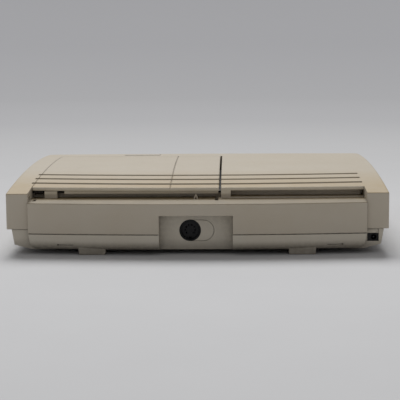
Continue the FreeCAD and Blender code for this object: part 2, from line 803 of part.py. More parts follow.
def make_top_case():
    """Arched cover with its ears, ledge, bay for the lid, bosses and openings."""
    skirt_z = EAR_BOTTOM_Z + EAR_FLANGE_T
    outer = upper_block(0, EAR_BOTTOM_Z)
    skirt = bowed_plan(PANEL_HALF, 0, lambda x: front_y(x), PARTING_Z, skirt_z)
    rear = panel_block(0, PARTING_Z, LEDGE_EDGE_R)
    body = join([outer.cut(step_space(0)), skirt, rear])
    sides = edges_near(body, lambda c, e: abs(abs(c.x) - HALF) < 0.05 and c.z > 40 and e.Length > 50)
    body = body.makeFillet(EAR_EDGE_R, sides)

    cavity = join([upper_block(WALL, skirt_z).cut(step_space(WALL)), panel_block(WALL, -1)])
    low = bowed_plan(LOWER_HALF + TONGUE_GAP, 0, lambda x: front_y(x, WALL), -1, skirt_z + LOWER_REST)
    low_half = LOWER_HALF + TONGUE_GAP
    low_rear = box(-low_half, low_half, -1, LOWER_REAR_Y - WALL + 2, -1, skirt_z + LOWER_REST)
    cavity = join([cavity, low, low_rear])
    cavity = carve(cavity, [bay_space(BAY_WALL), cove_space(BAY_WALL), recess_space(WALL)])

    shell = body.cut(cavity)
    shell = carve(shell, [bay_space(0), cove_space(0), recess_space(0)])

    inside = upper_block(WALL / 2, CASE_BOSS_Z)
    additions = []
    for x, y in CASE_SCREWS:
        top = LEDGE_OUT_Z - 1 if y > 0 else HUGE / 4
        additions.append(rod_z(CASE_BOSS_R, x, y, CASE_BOSS_Z, top))
    for x, y in tray_screw_places():
        additions.append(rod_z(BOSS_R, x, y, TRAY_TOP_Z, HUGE / 4))
    for x, y in card_boss_places():
        additions.append(rod_z(BOSS_R, x, y, CARD_Z + CARD_MOUTH_H / 2 + CARD_WALL, HUGE / 4))
    additions = [a.common(inside) for a in additions]
    additions.append(make_hinge_post())
    additions.extend(make_front_seats())
    shell = join([shell] + additions)

    cuts = []
    for x, y in CASE_SCREWS:
        cuts.append(rod_z(CASE_SCREW_R, x, y, CASE_BOSS_Z - 1, CASE_BOSS_Z + CASE_SCREW_BORE))
    for x, y in tray_screw_places():
        cuts.append(rod_z(SCREW_R, x, y, TRAY_TOP_Z - 1, TRAY_TOP_Z + SCREW_BORE))
    for x, y in card_boss_places():
        cuts.append(rod_z(SCREW_R, x, y, CARD_Z, CARD_Z + CARD_MOUTH_H / 2 + CARD_WALL + SCREW_BORE))
    bore = PIN_R + PRESS_GAP
    cuts.append(rod_x(bore, HINGE_Y, HINGE_Z, POST_X0 - 1, POST_X1 + 1))
    cuts.append(rod_x(bore, HINGE_Y, HINGE_Z, BAY_X0 - CASE_BLOCK_W + PIN_END_WALL, BAY_X0 + 1))
    cuts.extend(ledge_openings())
    cuts.append(clip_slot())
    cuts.extend(groove_tools())
    cuts.extend(front_openings())
    # The wall behind the AV socket belongs to the bottom case
    cuts.append(box(RECESS_X0 - SOCKET_GAP, RECESS_X1 + SOCKET_GAP, RECESS_Y - WALL - 1,
                    RECESS_Y + SOCKET_GAP, PARTING_Z - 2, RECESS_TOP_Z))
    shell = carve(shell, cuts)
    lips = edges_near(shell, lambda c, e: abs(c.y - lip_y(c.x)) < 0.3 and abs(c.z - arch_z(c.y)) < 0.1
                      and c.x < BAY_X0 and e.BoundBox.XLength > 60)
    return shell.makeFillet(LIP_EDGE_R, lips)


def make_hinge_post():
    """Post in the trough that holds the left hinge pin, round about the pin."""
    barrel = rod_x(POST_R, HINGE_Y, HINGE_Z, POST_X0, POST_X1)
    foot = box(POST_X0, POST_X1, TROUGH_Y - 1, HINGE_Y + POST_R, TROUGH_Z - 1, HINGE_Z)
    web = box(POST_X0, POST_X1, TROUGH_Y - 1, HINGE_Y, TROUGH_Z - 1, HINGE_Z + POST_WEB_RISE)
    return join([barrel, foot, web])


def ledge_openings():
    """Dark notches in the ledge at both ends of the lid, and the window in the ear beside it."""
    low = TROUGH_Z - WALL - 1
    by_seam = BAY_X0 + NOTCH_OFFSET
    by_ear = BAY_X1 - END_NOTCH_IN
    return [box(by_seam, by_seam + NOTCH_W, NOTCH_FRONT_Y, NOTCH_REAR_Y, low, TROUGH_Z + 1),
            box(by_ear, by_ear + END_NOTCH_W, END_NOTCH_FRONT_Y, END_NOTCH_REAR_Y, low, TROUGH_Z + 1),
            box(PANEL_HALF - 1, PANEL_HALF + WALL + 1, END_WINDOW_FRONT_Y, END_WINDOW_REAR_Y,
                END_WINDOW_Z0, END_WINDOW_Z1)]


def clip_slot():
    """Slot in the ledge that takes the foot of the small clip."""
    x0 = CLIP_X - CLIP_W / 2
    return box(x0, x0 + CLIP_W, CLIP_Y, CLIP_Y + CLIP_LEN, LEDGE_OUT_Z - CLIP_SINK, LEDGE_IN_Z + 1)


def make_lid_clip():
    """Bent strip that stands in the ledge like a small roof."""
    x0 = CLIP_X - CLIP_W / 2
    x1 = CLIP_X + CLIP_W / 2
    z0 = LEDGE_OUT_Z - CLIP_SINK
    z1 = LEDGE_OUT_Z + CLIP_H
    tip = CLIP_TIP_W / 2
    knee = z0 + CLIP_KNEE
    outer = [V(x0, CLIP_Y, z0), V(x1, CLIP_Y, z0), V(x1, CLIP_Y, knee), V(CLIP_X + tip, CLIP_Y, z1),
             V(CLIP_X - tip, CLIP_Y, z1), V(x0, CLIP_Y, knee)]
    inner = [V(x0 + CLIP_LEG, CLIP_Y, z0 + CLIP_T), V(x1 - CLIP_LEG, CLIP_Y, z0 + CLIP_T),
             V(CLIP_X, CLIP_Y, z1 - CLIP_TIP_T)]
    body = prism(outer, V(0, CLIP_LEN, 0))
    return body.cut(prism(inner, V(0, CLIP_LEN, 0)))


def front_openings():
    """Mouths in the front wall for card, controller plug, power knob and lamps, and the button's hole."""
    y0 = FRONT_CROWN_Y - 1
    y1 = front_seat_y() + WALL
    half = CARD_W / 2
    high = CARD_MOUTH_H / 2
    card = box(CARD_X - half, CARD_X + half, y0, y1, CARD_Z - high, CARD_Z + high)
    plug = rod_y(PAD_SOCKET_R + SOCKET_GAP, PAD_SOCKET_X, PAD_SOCKET_Z, y0, y1)
    half = POWER_KNOB_W / 2 + SLIDE_GAP
    knob = box(POWER_X - POWER_TRAVEL / 2 - half, POWER_X + POWER_TRAVEL / 2 + half, y0, y1,
               POWER_Z - POWER_KNOB_H / 2 - SLIDE_GAP, POWER_Z + POWER_KNOB_H / 2 + SLIDE_GAP)
    lamps = [rod_y(LED_R, x, LED_Z, y0, y1) for x in led_places()]
    button = box(DISC_X - BUTTON_W / 2 - SLIDE_GAP, DISC_X + BUTTON_W / 2 + SLIDE_GAP,
                 BUTTON_Y - BUTTON_LENGTH / 2 - SLIDE_GAP, BUTTON_Y + BUTTON_LENGTH / 2 + SLIDE_GAP,
                 latch_top() + LATCH_T, HUGE / 4)
    return [card, plug, knob, button] + lamps


def front_seat_y():
    """The flat plane behind the front wall where switch and lamp board are seated."""
    return FRONT_CROWN_Y + FRONT_BOW + WALL


def make_front_seats():
    """Flat seats behind the bowed front wall for the power switch and the lamp board."""
    seats = []
    for side in (-1, 1):
        x = POWER_X + side * (POWER_TRAVEL / 2 + POWER_KNOB_W / 2 + SEAT_RIM)
        seats.append(box(x - SEAT_W / 2, x + SEAT_W / 2, front_y(x) + WALL / 2, front_seat_y(),
                         POWER_Z - POWER_BODY_H / 2, POWER_Z + POWER_BODY_H / 2))
    for side in (-1, 1):
        x = LED_X + side * (LED_PITCH / 2 + LED_SEAT_RIM)
        seats.append(box(x - SEAT_W / 2, x + SEAT_W / 2, front_y(x) + WALL / 2, front_seat_y(),
                         LED_Z - LED_SEAT_H / 2, LED_Z + LED_SEAT_H / 2))
    return seats


def lower_block(inset, z0, top):
    """Space inside the lower shell at an inset, with its drafted sides and bevel."""
    low = FOOT_H + (FLOOR_T if inset else 0)
    x_top = LOWER_HALF - inset
    x_bevel = x_top - LOWER_DRAFT
    x_low = x_bevel - BEVEL_RUN
    y0 = -HUGE / 2
    side = [V(x_top, y0, top), V(x_bevel, y0, low + BEVEL_RISE), V(x_low, y0, low)]
    profile = side + [V(-p.x, y0, p.z) for p in reversed(side)]
    sides = prism(profile, V(0, HUGE, 0))
    plan = bowed_plan(HALF, LOWER_REAR_Y - inset, lambda x: front_y(x, inset), z0, top)
    corners = edges_near(plan, lambda c, e: upright(e) and c.y < 0)
    plan = plan.makeFillet(FRONT_CORNER_R - inset, corners)
    return plan.common(sides)


def lower_panel(inset, z0, top, round_edge):
    """Space inside the lower part of the rear panel, narrower towards its bottom."""
    low = FOOT_H + (FLOOR_T if inset else 0)
    plan = bowed_plan(PANEL_HALF, 0, lambda x: panel_y(x, inset), max(z0, low), top)
    half = PANEL_HALF - inset
    half_low = half - PANEL_DRAFT
    profile = [V(-half, 0, top), V(half, 0, top), V(half_low, 0, low), V(-half_low, 0, low)]
    wedge = prism(profile, V(0, HUGE / 2, 0))
    block = plan.common(wedge)
    edge = edges_near(block, lambda c, e: abs(c.z - low) < 0.01 and c.y > EAR_REAR_Y - inset
                      and e.BoundBox.XLength > PANEL_HALF)
    block = block.makeFillet(round_edge, edge)
    corners = edges_near(wedge, lambda c, e: abs(c.z - low) < 0.01 and e.BoundBox.XLength < 0.01)
    return block.common(wedge.makeFillet(max(PANEL_CORNER_R - inset, PANEL_CORNER_REST), corners))


def rear_foot(x):
    """A moulded foot under the rear edge, narrower at the floor."""
    reach = FOOT_H + PANEL_LOWER_R
    spread = (FOOT_TOP_W - FOOT_BOTTOM_W) / 2
    y1 = FOOT_REAR_Y
    y0 = y1 - FOOT_LENGTH
    outline = [V(x - FOOT_BOTTOM_W / 2, y0, 0), V(x + FOOT_BOTTOM_W / 2, y0, 0),
               V(x + FOOT_BOTTOM_W / 2 + spread, y0, reach), V(x - FOOT_BOTTOM_W / 2 - spread, y0, reach)]
    block = prism(outline, V(0, FOOT_LENGTH, 0))
    x0 = x - FOOT_TOP_W
    lean = [V(x0, y1 - FOOT_DRAFT, 0), V(x0, y1 + 1, 0), V(x0, y1 + 1, reach), V(x0, y1, reach)]
    block = block.cut(prism(lean, V(2 * FOOT_TOP_W, 0, 0)))
    crown = edges_near(block, lambda c, e: abs(c.z) < 0.01)
    return block.makeFillet(FOOT_EDGE_R, crown)


def pill_groove():
    """Shallow outline of a second socket place, beside the AV socket."""
    x1 = AV_X
    x0 = AV_X - PILL_OFFSET
    y = RECESS_Y - PILL_DEPTH

    def pill(r):
        shapes = [rod_y(r, x0, AV_Z, y, RECESS_Y + 1), rod_y(r, x1, AV_Z, y, RECESS_Y + 1),
                  box(x0, x1, y, RECESS_Y + 1, AV_Z - r, AV_Z + r)]
        return join(shapes)

    return pill(AV_R).cut(pill(AV_R - PILL_RING))


def make_bottom_case():
    """Lower shell with feet, socket wall, bosses and standoffs."""
    side_top = EAR_BOTTOM_Z - LOWER_TOP_GAP
    outer = lower_block(0, FOOT_H, side_top)
    keep_low = box(-PANEL_HALF, PANEL_HALF, -HUGE / 2, HUGE / 2, PARTING_Z, HUGE / 4)
    panel = lower_panel(0, FOOT_H, PARTING_Z, PANEL_LOWER_R)
    inner = join([lower_block(WALL, FLOOR_Z, side_top + 1),
                  lower_panel(WALL, FLOOR_Z, PARTING_Z + 1, PANEL_LOWER_R - FLOOR_T)])
    inner = inner.cut(recess_space(WALL))
    body = join([outer.cut(keep_low), panel])
    shell = body.cut(inner)
    rim = []
    for side in (-1, 1):
        x0, x1 = sorted([side * (LOWER_HALF - WALL), side * (LOWER_HALF - WALL - TONGUE_T)])
        rim.append(box(x0, x1, TONGUE_FRONT_Y, TONGUE_REAR_Y, side_top - TONGUE_ROOT, side_top + TONGUE_H))
    shell = join([shell] + rim)

    wall = box(RECESS_X0, RECESS_X1, RECESS_Y - WALL, RECESS_Y, FLOOR_Z - LOWER_REST,
               RECESS_TOP_Z - SOCKET_GAP)
    additions = [wall] + [rear_foot(side * FOOT_X).cut(inner) for side in (-1, 1)]
    for x, y in CASE_SCREWS:
        additions.append(rod_z(CASE_BOSS_R, x, y, FOOT_H, CASE_BOSS_Z))
    for x, y in board_screw_places():
        additions.append(rod_z(BOSS_R, x, y, FLOOR_Z - LOWER_REST, BOARD_Z))
    shell = join([shell] + additions)

    cuts = [recess_space(0), pill_groove(), dc_pocket()]
    cuts.append(rod_y(AV_R, AV_X, AV_Z, RECESS_Y - WALL - 1, RECESS_Y + 1))
    cuts.append(box(DC_X0, DC_X1, LOWER_REAR_Y - WALL - 1, LOWER_REAR_Y + 1, DC_Z0, DC_Z1))
    cuts.append(box(DC_X0, DC_X1, LOWER_REAR_Y - DC_STRIP_DEPTH, LOWER_REAR_Y + 1, DC_Z1, DC_STRIP_Z))
    band = box(-PANEL_HALF, PANEL_HALF, -HUGE / 2, HUGE / 2, PARTING_Z - PARTING_GAP, PARTING_Z + 1)
    core = join([lower_panel(PARTING_GROOVE, FOOT_H, PARTING_Z + 1, PARTING_EDGE_R),
                 lower_block(PARTING_GROOVE, FOOT_H, side_top)])
    cuts.append(band.common(body).cut(core))
    for start, side in ((SLIT_LEFT_X, 1), (SLIT_RIGHT_X, -1)):
        end = side * (start + SLIT_LENGTH)
        lo, hi = sorted([side * start, end])
        slit = bowed_plan(PANEL_HALF, 0, lambda x: panel_y(x), SLIT_Z - SLIT_W / 2, SLIT_Z + SLIT_W / 2)
        slit = slit.cut(bowed_plan(PANEL_HALF, 0, lambda x: panel_y(x, SLIT_DEPTH), 0, PARTING_Z))
        cuts.append(slit.common(box(lo, hi, 0, HUGE / 2, 0, PARTING_Z)))
        cuts.append(rod_y(SLIT_DOT_R, end, SLIT_Z, panel_y(end) - SLIT_DOT_DEPTH, REAR_CROWN_Y))
    for x, y in CASE_SCREWS:
        cuts.append(rod_z(CASE_SCREW_R + CASE_SCREW_PLAY, x, y, FOOT_H - 1, CASE_BOSS_Z + 1))
        cuts.append(rod_z(CASE_SCREW_HEAD_R + CASE_HEAD_PLAY, x, y, FOOT_H - 1, FOOT_H + COUNTERBORE))
    for x, y in board_screw_places():
        cuts.append(rod_z(SCREW_R, x, y, FLOOR_Z - PILOT, BOARD_Z + 1))
    for side in (-1, 1):
        cuts.append(rod_z(FRONT_FOOT_R + FOOT_PAD_GAP, side * FRONT_FOOT_X, FRONT_FOOT_Y, FOOT_H - 1,
                          FOOT_H + FOOT_PAD_SINK))
    cuts.append(rod_y(PAD_SOCKET_R + SOCKET_GAP, PAD_SOCKET_X, PAD_SOCKET_Z, FRONT_CROWN_Y - 1,
                      front_seat_y() + WALL))
    return carve(shell, cuts)


def board_screw_places():
    """Where the main board is screwed to the bottom case."""
    left = BOARD_SCREW_LEFT_IN - BOARD_HALF_X
    right = BOARD_HALF_X - BOARD_SCREW_RIGHT_IN
    front = BOARD_FRONT_Y + BOARD_SCREW_FRONT_IN
    back = BOARD_REAR_Y - BOARD_SCREW_BACK_IN
    return [(left, front), (left, back), (0.0, BOARD_REAR_Y - BOARD_SCREW_MID_IN),
            (right, back - BOARD_SCREW_STEP), (right, front + BOARD_SCREW_STEP)]


def lid_column():
    """The plan of the lid, run upwards."""
    corners = [V(LID_X0, LID_FRONT_Y, 0), V(LID_X1, LID_FRONT_Y, 0), V(LID_X1, lip_y(LID_X1), 0)]
    last = V(LID_X0, lip_y(LID_X0), 0)
    bow = Part.Arc(corners[2], V(DISC_X, lip_y(DISC_X), 0), last).toShape()
    lines = [Part.makeLine(corners[0], corners[1]), Part.makeLine(corners[1], corners[2])]
    return Part.Face(Part.Wire(lines + [bow, Part.makeLine(last, corners[0])])).extrude(V(0, 0, HUGE / 4))


def arch_shell(drop0, drop1):
    """The layer between two drops under the arched top."""
    return under_arch(drop0, -HUGE / 2, HUGE / 2).cut(under_arch(drop1, -HUGE / 2, HUGE / 2))


def plunger_top():
    """Height of the lid switch plunger while the lid is shut."""
    return TRAY_TOP_Z + PLUNGER_RISE


def make_disc_lid():
    """Lid with its hinge rail, clamp housing, rims, ribs, peg, thin line and grooves."""
    top = lid_column().common(under_arch(0, -HUGE / 2, HUGE / 2))
    lips = edges_near(top, lambda c, e: c.y > LIP_Y - LIP_BOW - 1 and c.z > TRAY_TOP_Z
                      and e.BoundBox.XLength > PANEL_HALF / 2 and e.BoundBox.ZMin > TRAY_TOP_Z)
    skin = top.makeFillet(LIP_EDGE_R, lips).cut(under_arch(LID_SKIN, -HUGE / 2, HUGE / 2))
    below_top = under_arch(LID_SKIN / 2, -HUGE / 2, HUGE / 2)
    low = HINGE_Z - RAIL_BELOW_PIN
    rail = box(LID_X0 + RAIL_END_GAP, RAIL_LEFT_X, RAIL_FRONT_Y, RAIL_REAR_Y, low, HUGE / 4)
    housing = ring_z(HOUSING_R, HOUSING_R - HOUSING_WALL, DISC_X, DISC_Y, FLANGE_Z, HUGE / 4)
    peg = rod_z(PEG_R, SWITCH_X, SWITCH_Y, plunger_top() + LATCH_GAP, HUGE / 4)
    parts = [skin] + [p.common(below_top) for p in (rail, housing, peg)]
    rib_layer = arch_shell(LID_SKIN / 2, LINER_DROP)
    for x in (LID_X0 + 2 * LINER_SIDE, LID_X1 - 2 * LINER_SIDE):
        parts.append(box(x, x + LID_RIB_W, LINER_FRONT_Y, LINER_REAR_Y, 0, HUGE / 4).common(rib_layer))
    for y0 in (LINER_FRONT_Y, LINER_REAR_Y - LID_RIB_W):
        parts.append(box(LID_X0 + 1, LID_X1 - 1, y0, y0 + LID_RIB_W, 0, HUGE / 4).common(rib_layer))
    for x0 in (LID_X0, LID_X1 - LID_RIB_W):
        parts.append(box(x0, x0 + LID_RIB_W, LID_FRONT_Y, TROUGH_Y, 0, HUGE / 4).common(rib_layer))
    parts.append(box(LID_X0, LID_X1, LID_FRONT_Y, LID_FRONT_Y + LID_FRONT_T, 0, HUGE / 4).common(rib_layer))
    lid = join(parts)
    half_line = LID_LINE_W / 2
    line = prism([V(LID_LINE_REAR_X - half_line, LIP_Y + 1, 0), V(LID_LINE_REAR_X + half_line, LIP_Y + 1, 0),
                  V(LID_LINE_FRONT_X + half_line, LID_FRONT_Y - 1, 0),
                  V(LID_LINE_FRONT_X - half_line, LID_FRONT_Y - 1, 0)], V(0, 0, HUGE / 4))
    cuts = [line.cut(under_arch(LID_LINE_DEPTH, -HUGE / 2, HUGE / 2))]
    cuts.append(rod_x(POST_R + RELIEF_GAP, HINGE_Y, HINGE_Z, POST_X0 - RAIL_END_GAP, LID_X1 + 1))
    bore = PIN_R + PIN_CLEARANCE
    cuts.append(rod_x(bore, HINGE_Y, HINGE_Z, RAIL_LEFT_X - PIN_IN_RAIL - PIN_END_GAP, RAIL_LEFT_X + 1))
    cuts.append(rod_x(bore, HINGE_Y, HINGE_Z, LID_X0 - 1, LID_X0 + RAIL_END_GAP + PIN_IN_RAIL + PIN_END_GAP))
    cuts.extend(groove_tools())
    return carve(lid, cuts)


def make_lid_liner():
    """Inner panel of the lid, which lies on the lid's ribs."""
    plate = box(LID_X0 + LINER_SIDE, LID_X1 - LINER_SIDE, LINER_FRONT_Y, LINER_REAR_Y, 0, HUGE / 4)
    plate = plate.common(arch_shell(LINER_DROP, LINER_DROP + LINER_T))
    return carve(plate, [rod_z(HOUSING_R + SLIDE_GAP, DISC_X, DISC_Y, 0, HUGE / 4),
                         rod_z(PEG_R + SLIDE_GAP, SWITCH_X, SWITCH_Y, 0, HUGE / 4)])


def make_clamp():
    """Round clamp that presses the disc on the turntable, with its magnet and retainer."""
    top = FLANGE_Z + FLANGE_T
    neck = ring_z(CLAMP_R, CLAMP_RECESS_R, DISC_X, DISC_Y, CLAMP_Z, CLAMP_Z + CLAMP_RECESS_H)
    cap = rod_z(CLAMP_R, DISC_X, DISC_Y, CLAMP_Z + CLAMP_RECESS_H, top)
    flange = rod_z(FLANGE_R, DISC_X, DISC_Y, FLANGE_Z, top)
    magnet = ring_z(MAGNET_R, MAGNET_IN_R, DISC_X, DISC_Y, top, top + MAGNET_T)
    retainer = ring_z(HOUSING_R, CLAMP_R + RETAINER_GAP, DISC_X, DISC_Y, FLANGE_Z - RETAINER_T, FLANGE_Z)
    return join([neck, cap, flange]), magnet, retainer


def make_hinge_pins():
    """Steel pins of the lid's hinge."""
    left = rod_x(PIN_R, HINGE_Y, HINGE_Z, RAIL_LEFT_X - PIN_IN_RAIL, BAY_X1 - RAIL_END_GAP)
    right = rod_x(PIN_R, HINGE_Y, HINGE_Z, BAY_X0 - CASE_BLOCK_W + PIN_END_WALL,
                  LID_X0 + RAIL_END_GAP + PIN_IN_RAIL)
    return [left, right]


def biarc(p0, t0, p1, t1):
    """Two arcs from p0 along t0 to p1 along t1."""
    v = p1 - p0
    t = t0 + t1
    k = 2 * (1 - t0.dot(t1))
    b = v.dot(t)
    d = (-b + math.sqrt(b * b + k * v.dot(v))) / k
    middle = (p0 + t0 * d + p1 - t1 * d) * 0.5

    def arc(a, tangent, c):
        chord = c - a
        side = chord - tangent * chord.dot(tangent)
        side.normalize()
        r = chord.dot(chord) / (2 * chord.dot(side))
        centre = a + side * r
        out = (a + c) * 0.5 - centre
        out.normalize()
        return Part.Arc(a, centre + out * r, c).toShape()

    back = t1 * -1
    return [arc(p0, t0, middle), arc(p1, back, middle)]


def make_lid_spring():
    """Torsion spring round the left pin, from a straight leg on the trough's wall to one under the lid."""
    steps = round(4 * (SPRING_END - SPRING_START))
    places = []
    for i in range(steps + 1):
        turn = (SPRING_END - SPRING_START) * i / steps
        angle = 2 * math.pi * (SPRING_START + turn)
        place = V(POST_X1 + SPRING_SIDE_GAP + SPRING_PITCH * turn, HINGE_Y + SPRING_R * math.cos(angle),
                  HINGE_Z + SPRING_R * math.sin(angle))
        slope = 0 if i in (0, steps) else SPRING_PITCH / (2 * math.pi * SPRING_R)
        way = V(slope, -math.sin(angle), math.cos(angle))
        way.normalize()
        places.append((place, way))
    first = places[0][0]
    last, way = places[-1]
    foot = V(first.x, TROUGH_Y, first.z)
    path = [Part.makeLine(foot, first)]
    for (p0, t0), (p1, t1) in zip(places, places[1:]):
        path.extend(biarc(p0, t0, p1, t1))
    path.append(Part.makeLine(last, last + way * SPRING_LEG))
    wire = Part.Wire(Part.__sortEdges__(path))
    sweep = Part.BRepOffsetAPI.MakePipeShell(wire)
    sweep.add(Part.Wire(Part.makeCircle(SPRING_WIRE_R, foot, V(0, 1, 0))))
    sweep.build()
    sweep.makeSolid()
    print("lid_spring least gap to itself", round(coil_gap(wire), 3), "mm")
    return sweep.shape()


def coil_gap(wire):
    """Least free gap between stretches of a wound wire that aren't next to each other, measured on points."""
    points = wire.discretize(Number=400)
    step = wire.Length / 399
    skip = int(math.pi * SPRING_R / step)
    least = HUGE
    for i, p in enumerate(points):
        for q in points[i + skip:]:
            least = min(least, p.distanceToPoint(q))
    return least - 2 * SPRING_WIRE_R


def hub_places():
    """Where the deck hangs on its grommets."""
    rows = (DISC_Y - GROMMET_FRONT, DISC_Y + GROMMET_REAR)
    return [(DISC_X + side * GROMMET_X, y) for side in (-1, 1) for y in rows]


def latch_top():
    """Height of the latch plate's upper face under the tray."""
    return TRAY_TOP_Z - TRAY_T - SLIDE_GAP


def make_disc_well():
    """Tray under the lid, with the round well, the pickup slot and the latch guides."""
    under = TRAY_TOP_Z - TRAY_T
    plate = box(BAY_X0 - TRAY_LEFT, BAY_X1 + TRAY_RIGHT, BAY_FRONT_Y - TRAY_FRONT,
                TROUGH_Y - WALL - TRAY_REAR_GAP, under, TRAY_TOP_Z)
    plate = plate.cut(rod_z(WELL_R, DISC_X, DISC_Y, 0, HUGE / 4))
    wall = ring_z(WELL_R + TRAY_T, WELL_R, DISC_X, DISC_Y, WELL_UNDER_Z, TRAY_TOP_Z)
    floor = rod_z(WELL_R + TRAY_T, DISC_X, DISC_Y, WELL_UNDER_Z, WELL_FLOOR_Z)
    parts = [plate, wall, floor]
    for side in (-1, 1):
        inner = DISC_X + side * (LATCH_W / 2 + SLIDE_GAP)
        outer = inner + side * TRAY_T
        low = latch_top() - LATCH_T - SLIDE_GAP
        y0, y1 = BAY_FRONT_Y - TRAY_FRONT, LATCH_REAR_Y - GUIDE_END
        x0, x1 = sorted([inner, outer])
        parts.append(box(x0, x1, y0, y1, low - LATCH_LIP_T, under + TAB_BITE))
        x0, x1 = sorted([inner - side * LATCH_LIP, outer])
        parts.append(box(x0, x1, y0, y1, low - LATCH_LIP_T, low))
    tray = join(parts)
    slot_end = LENS_Y - SLED_TRAVEL - TURRET_R - PICKUP_SLOT_GAP
    slot = box(DISC_X - PICKUP_SLOT_HALF, DISC_X + PICKUP_SLOT_HALF, slot_end, DISC_Y, 0, under)
    cuts = [rod_z(HUB_HOLE_R, DISC_X, DISC_Y, 0, WELL_FLOOR_Z + 1), slot]
    half = HOOK_W / 2 + 2 * SLIDE_GAP
    cuts.append(box(DISC_X - half, DISC_X + half, HOOK_FRONT_Y - 2 * SLIDE_GAP, barb_tip() + 2 * SLIDE_GAP,
                    0, HUGE / 4))
    cuts.append(rod_z(PLUNGER_R + SLIDE_GAP, SWITCH_X, SWITCH_Y, 0, HUGE / 4))
    for x, y in tray_screw_places():
        cuts.append(rod_z(SCREW_R + SLIDE_GAP, x, y, 0, HUGE / 4))
    for x, y in hub_places():
        cuts.append(rod_z(SCREW_R, x, y, 0, WELL_UNDER_Z + HUB_BORE))
    return carve(tray, cuts)


def barb_tip():
    """How far the hook's barb reaches back."""
    return HOOK_FRONT_Y + HOOK_T + BARB_REACH


def make_latch_hook():
    """Hook under the front of the lid."""
    low = latch_top() - LATCH_T - SLIDE_GAP
    y1 = HOOK_FRONT_Y + HOOK_T
    stem = box(DISC_X - HOOK_W / 2, DISC_X + HOOK_W / 2, HOOK_FRONT_Y, y1, low - BARB_T, HUGE / 4)
    foot = box(DISC_X - HOOK_W, DISC_X + HOOK_W, HOOK_FRONT_Y, y1 + HOOK_T, TRAY_TOP_Z + HOOK_FOOT_RISE,
               HUGE / 4)
    x0 = DISC_X - HOOK_W / 2
    barb = prism([V(x0, y1, low), V(x0, barb_tip(), low), V(x0, barb_tip(), low - BARB_T / 3),
                  V(x0, y1, low - BARB_T)], V(HOOK_W, 0, 0))
    hook = join([stem, foot, barb]).common(under_arch(LID_SKIN, -HUGE / 2, HUGE / 2))
    return hook


def wedge_line(z):
    """The slope on which the button's stem drives the latch."""
    return BUTTON_Y + BUTTON_STEM / 2 + z - (latch_top() + LATCH_T)


def make_latch_slider():
    """Sliding catch under the tray, pushed back by the button's slope."""
    top = latch_top()
    low = top - LATCH_T
    high = top + LATCH_T
    gap = LATCH_GAP * math.sqrt(2)
    front = LATCH_FRONT_Y + LATCH_PLATE_IN
    plate = box(DISC_X - LATCH_W / 2, DISC_X + LATCH_W / 2, front, LATCH_REAR_Y, low, top)
    half = BUTTON_STEM + LATCH_SLOPE_RIM
    x0 = DISC_X - half
    back = LATCH_FRONT_Y + LATCH_SLOPE_L
    slope = prism([V(x0, wedge_line(low) + gap, low), V(x0, back, low), V(x0, back, high),
                   V(x0, wedge_line(high) + gap, high)], V(2 * half, 0, 0))
    half = HOOK_W / 2 + 2 * SLIDE_GAP
    front = HOOK_FRONT_Y - LATCH_TRAVEL - 2 * SLIDE_GAP
    window = box(DISC_X - half, DISC_X + half, front, barb_tip() + LATCH_GAP, low - 1, top + 1)
    return join([plate, slope]).cut(window)


def make_open_button():
    """Push button in the front of the top, with its flange and sloped stem."""
    y0 = BUTTON_Y - BUTTON_LENGTH / 2
    y1 = BUTTON_Y + BUTTON_LENGTH / 2
    flange_top = arch_z(y0) - WALL - SLIDE_GAP
    low = flange_top - BUTTON_FLANGE_T
    cap = box(DISC_X - BUTTON_W / 2, DISC_X + BUTTON_W / 2, y0, y1, low, HUGE / 4)
    cap = cap.common(under_arch(-BUTTON_PROUD, -HUGE / 2, HUGE / 2))
    rims = edges_near(cap, lambda c, e: c.z > arch_z(c.y) - 0.3)
    cap = cap.makeFillet(BUTTON_EDGE_R, rims)
    half = BUTTON_W / 2 + BUTTON_FLANGE_RIM
    flange = box(DISC_X - half, DISC_X + half, y0, y1, low, flange_top)
    stem_y0 = BUTTON_Y - BUTTON_STEM / 2
    stem_y1 = BUTTON_Y + BUTTON_STEM / 2
    x0 = DISC_X - BUTTON_STEM
    z_of = latch_top() + LATCH_T
    stem = prism([V(x0, stem_y0, z_of - BUTTON_STEM), V(x0, stem_y1, z_of), V(x0, stem_y1, flange_top),
                  V(x0, stem_y0, flange_top)], V(2 * BUTTON_STEM, 0, 0))
    return join([cap, flange, stem])


def make_turntable():
    """Turntable with its cone, boss and shaft, and the pad on it."""
    low = TABLE_TOP_Z - TABLE_T
    table = rod_z(TABLE_R, DISC_X, DISC_Y, low, TABLE_TOP_Z)
    boss_low = CHASSIS_TOP_Z + TABLE_BOSS_GAP
    boss = rod_z(TABLE_BOSS_R, DISC_X, DISC_Y, boss_low, low)
    shaft = rod_z(SHAFT_R, DISC_X, DISC_Y, CHASSIS_TOP_Z - CHASSIS_T - MOTOR_H + SHAFT_R, boss_low)
    cone = Part.makeCone(CONE_R, CONE_TIP_R, CONE_H, V(DISC_X, DISC_Y, TABLE_TOP_Z))
    pad = ring_z(TABLE_R - PAD_RIM, PAD_IN_R, DISC_X, DISC_Y, TABLE_TOP_Z, DISC_Z)
    return join([table, boss, shaft, cone]), pad


def make_spindle_motor():
    """Flat motor under the deck, with a bore for the turntable's shaft."""
    top = CHASSIS_TOP_Z - CHASSIS_T
    can = rod_z(MOTOR_R, DISC_X, DISC_Y, top - MOTOR_H, top)
    rims = edges_near(can, lambda c, e: c.z < top - MOTOR_H + 0.1 and e.Length > 20)
    can = can.makeFillet(MOTOR_EDGE_R, rims)
    return can.cut(rod_z(SHAFT_R + SHAFT_CLEARANCE, DISC_X, DISC_Y, 0, HUGE / 4))


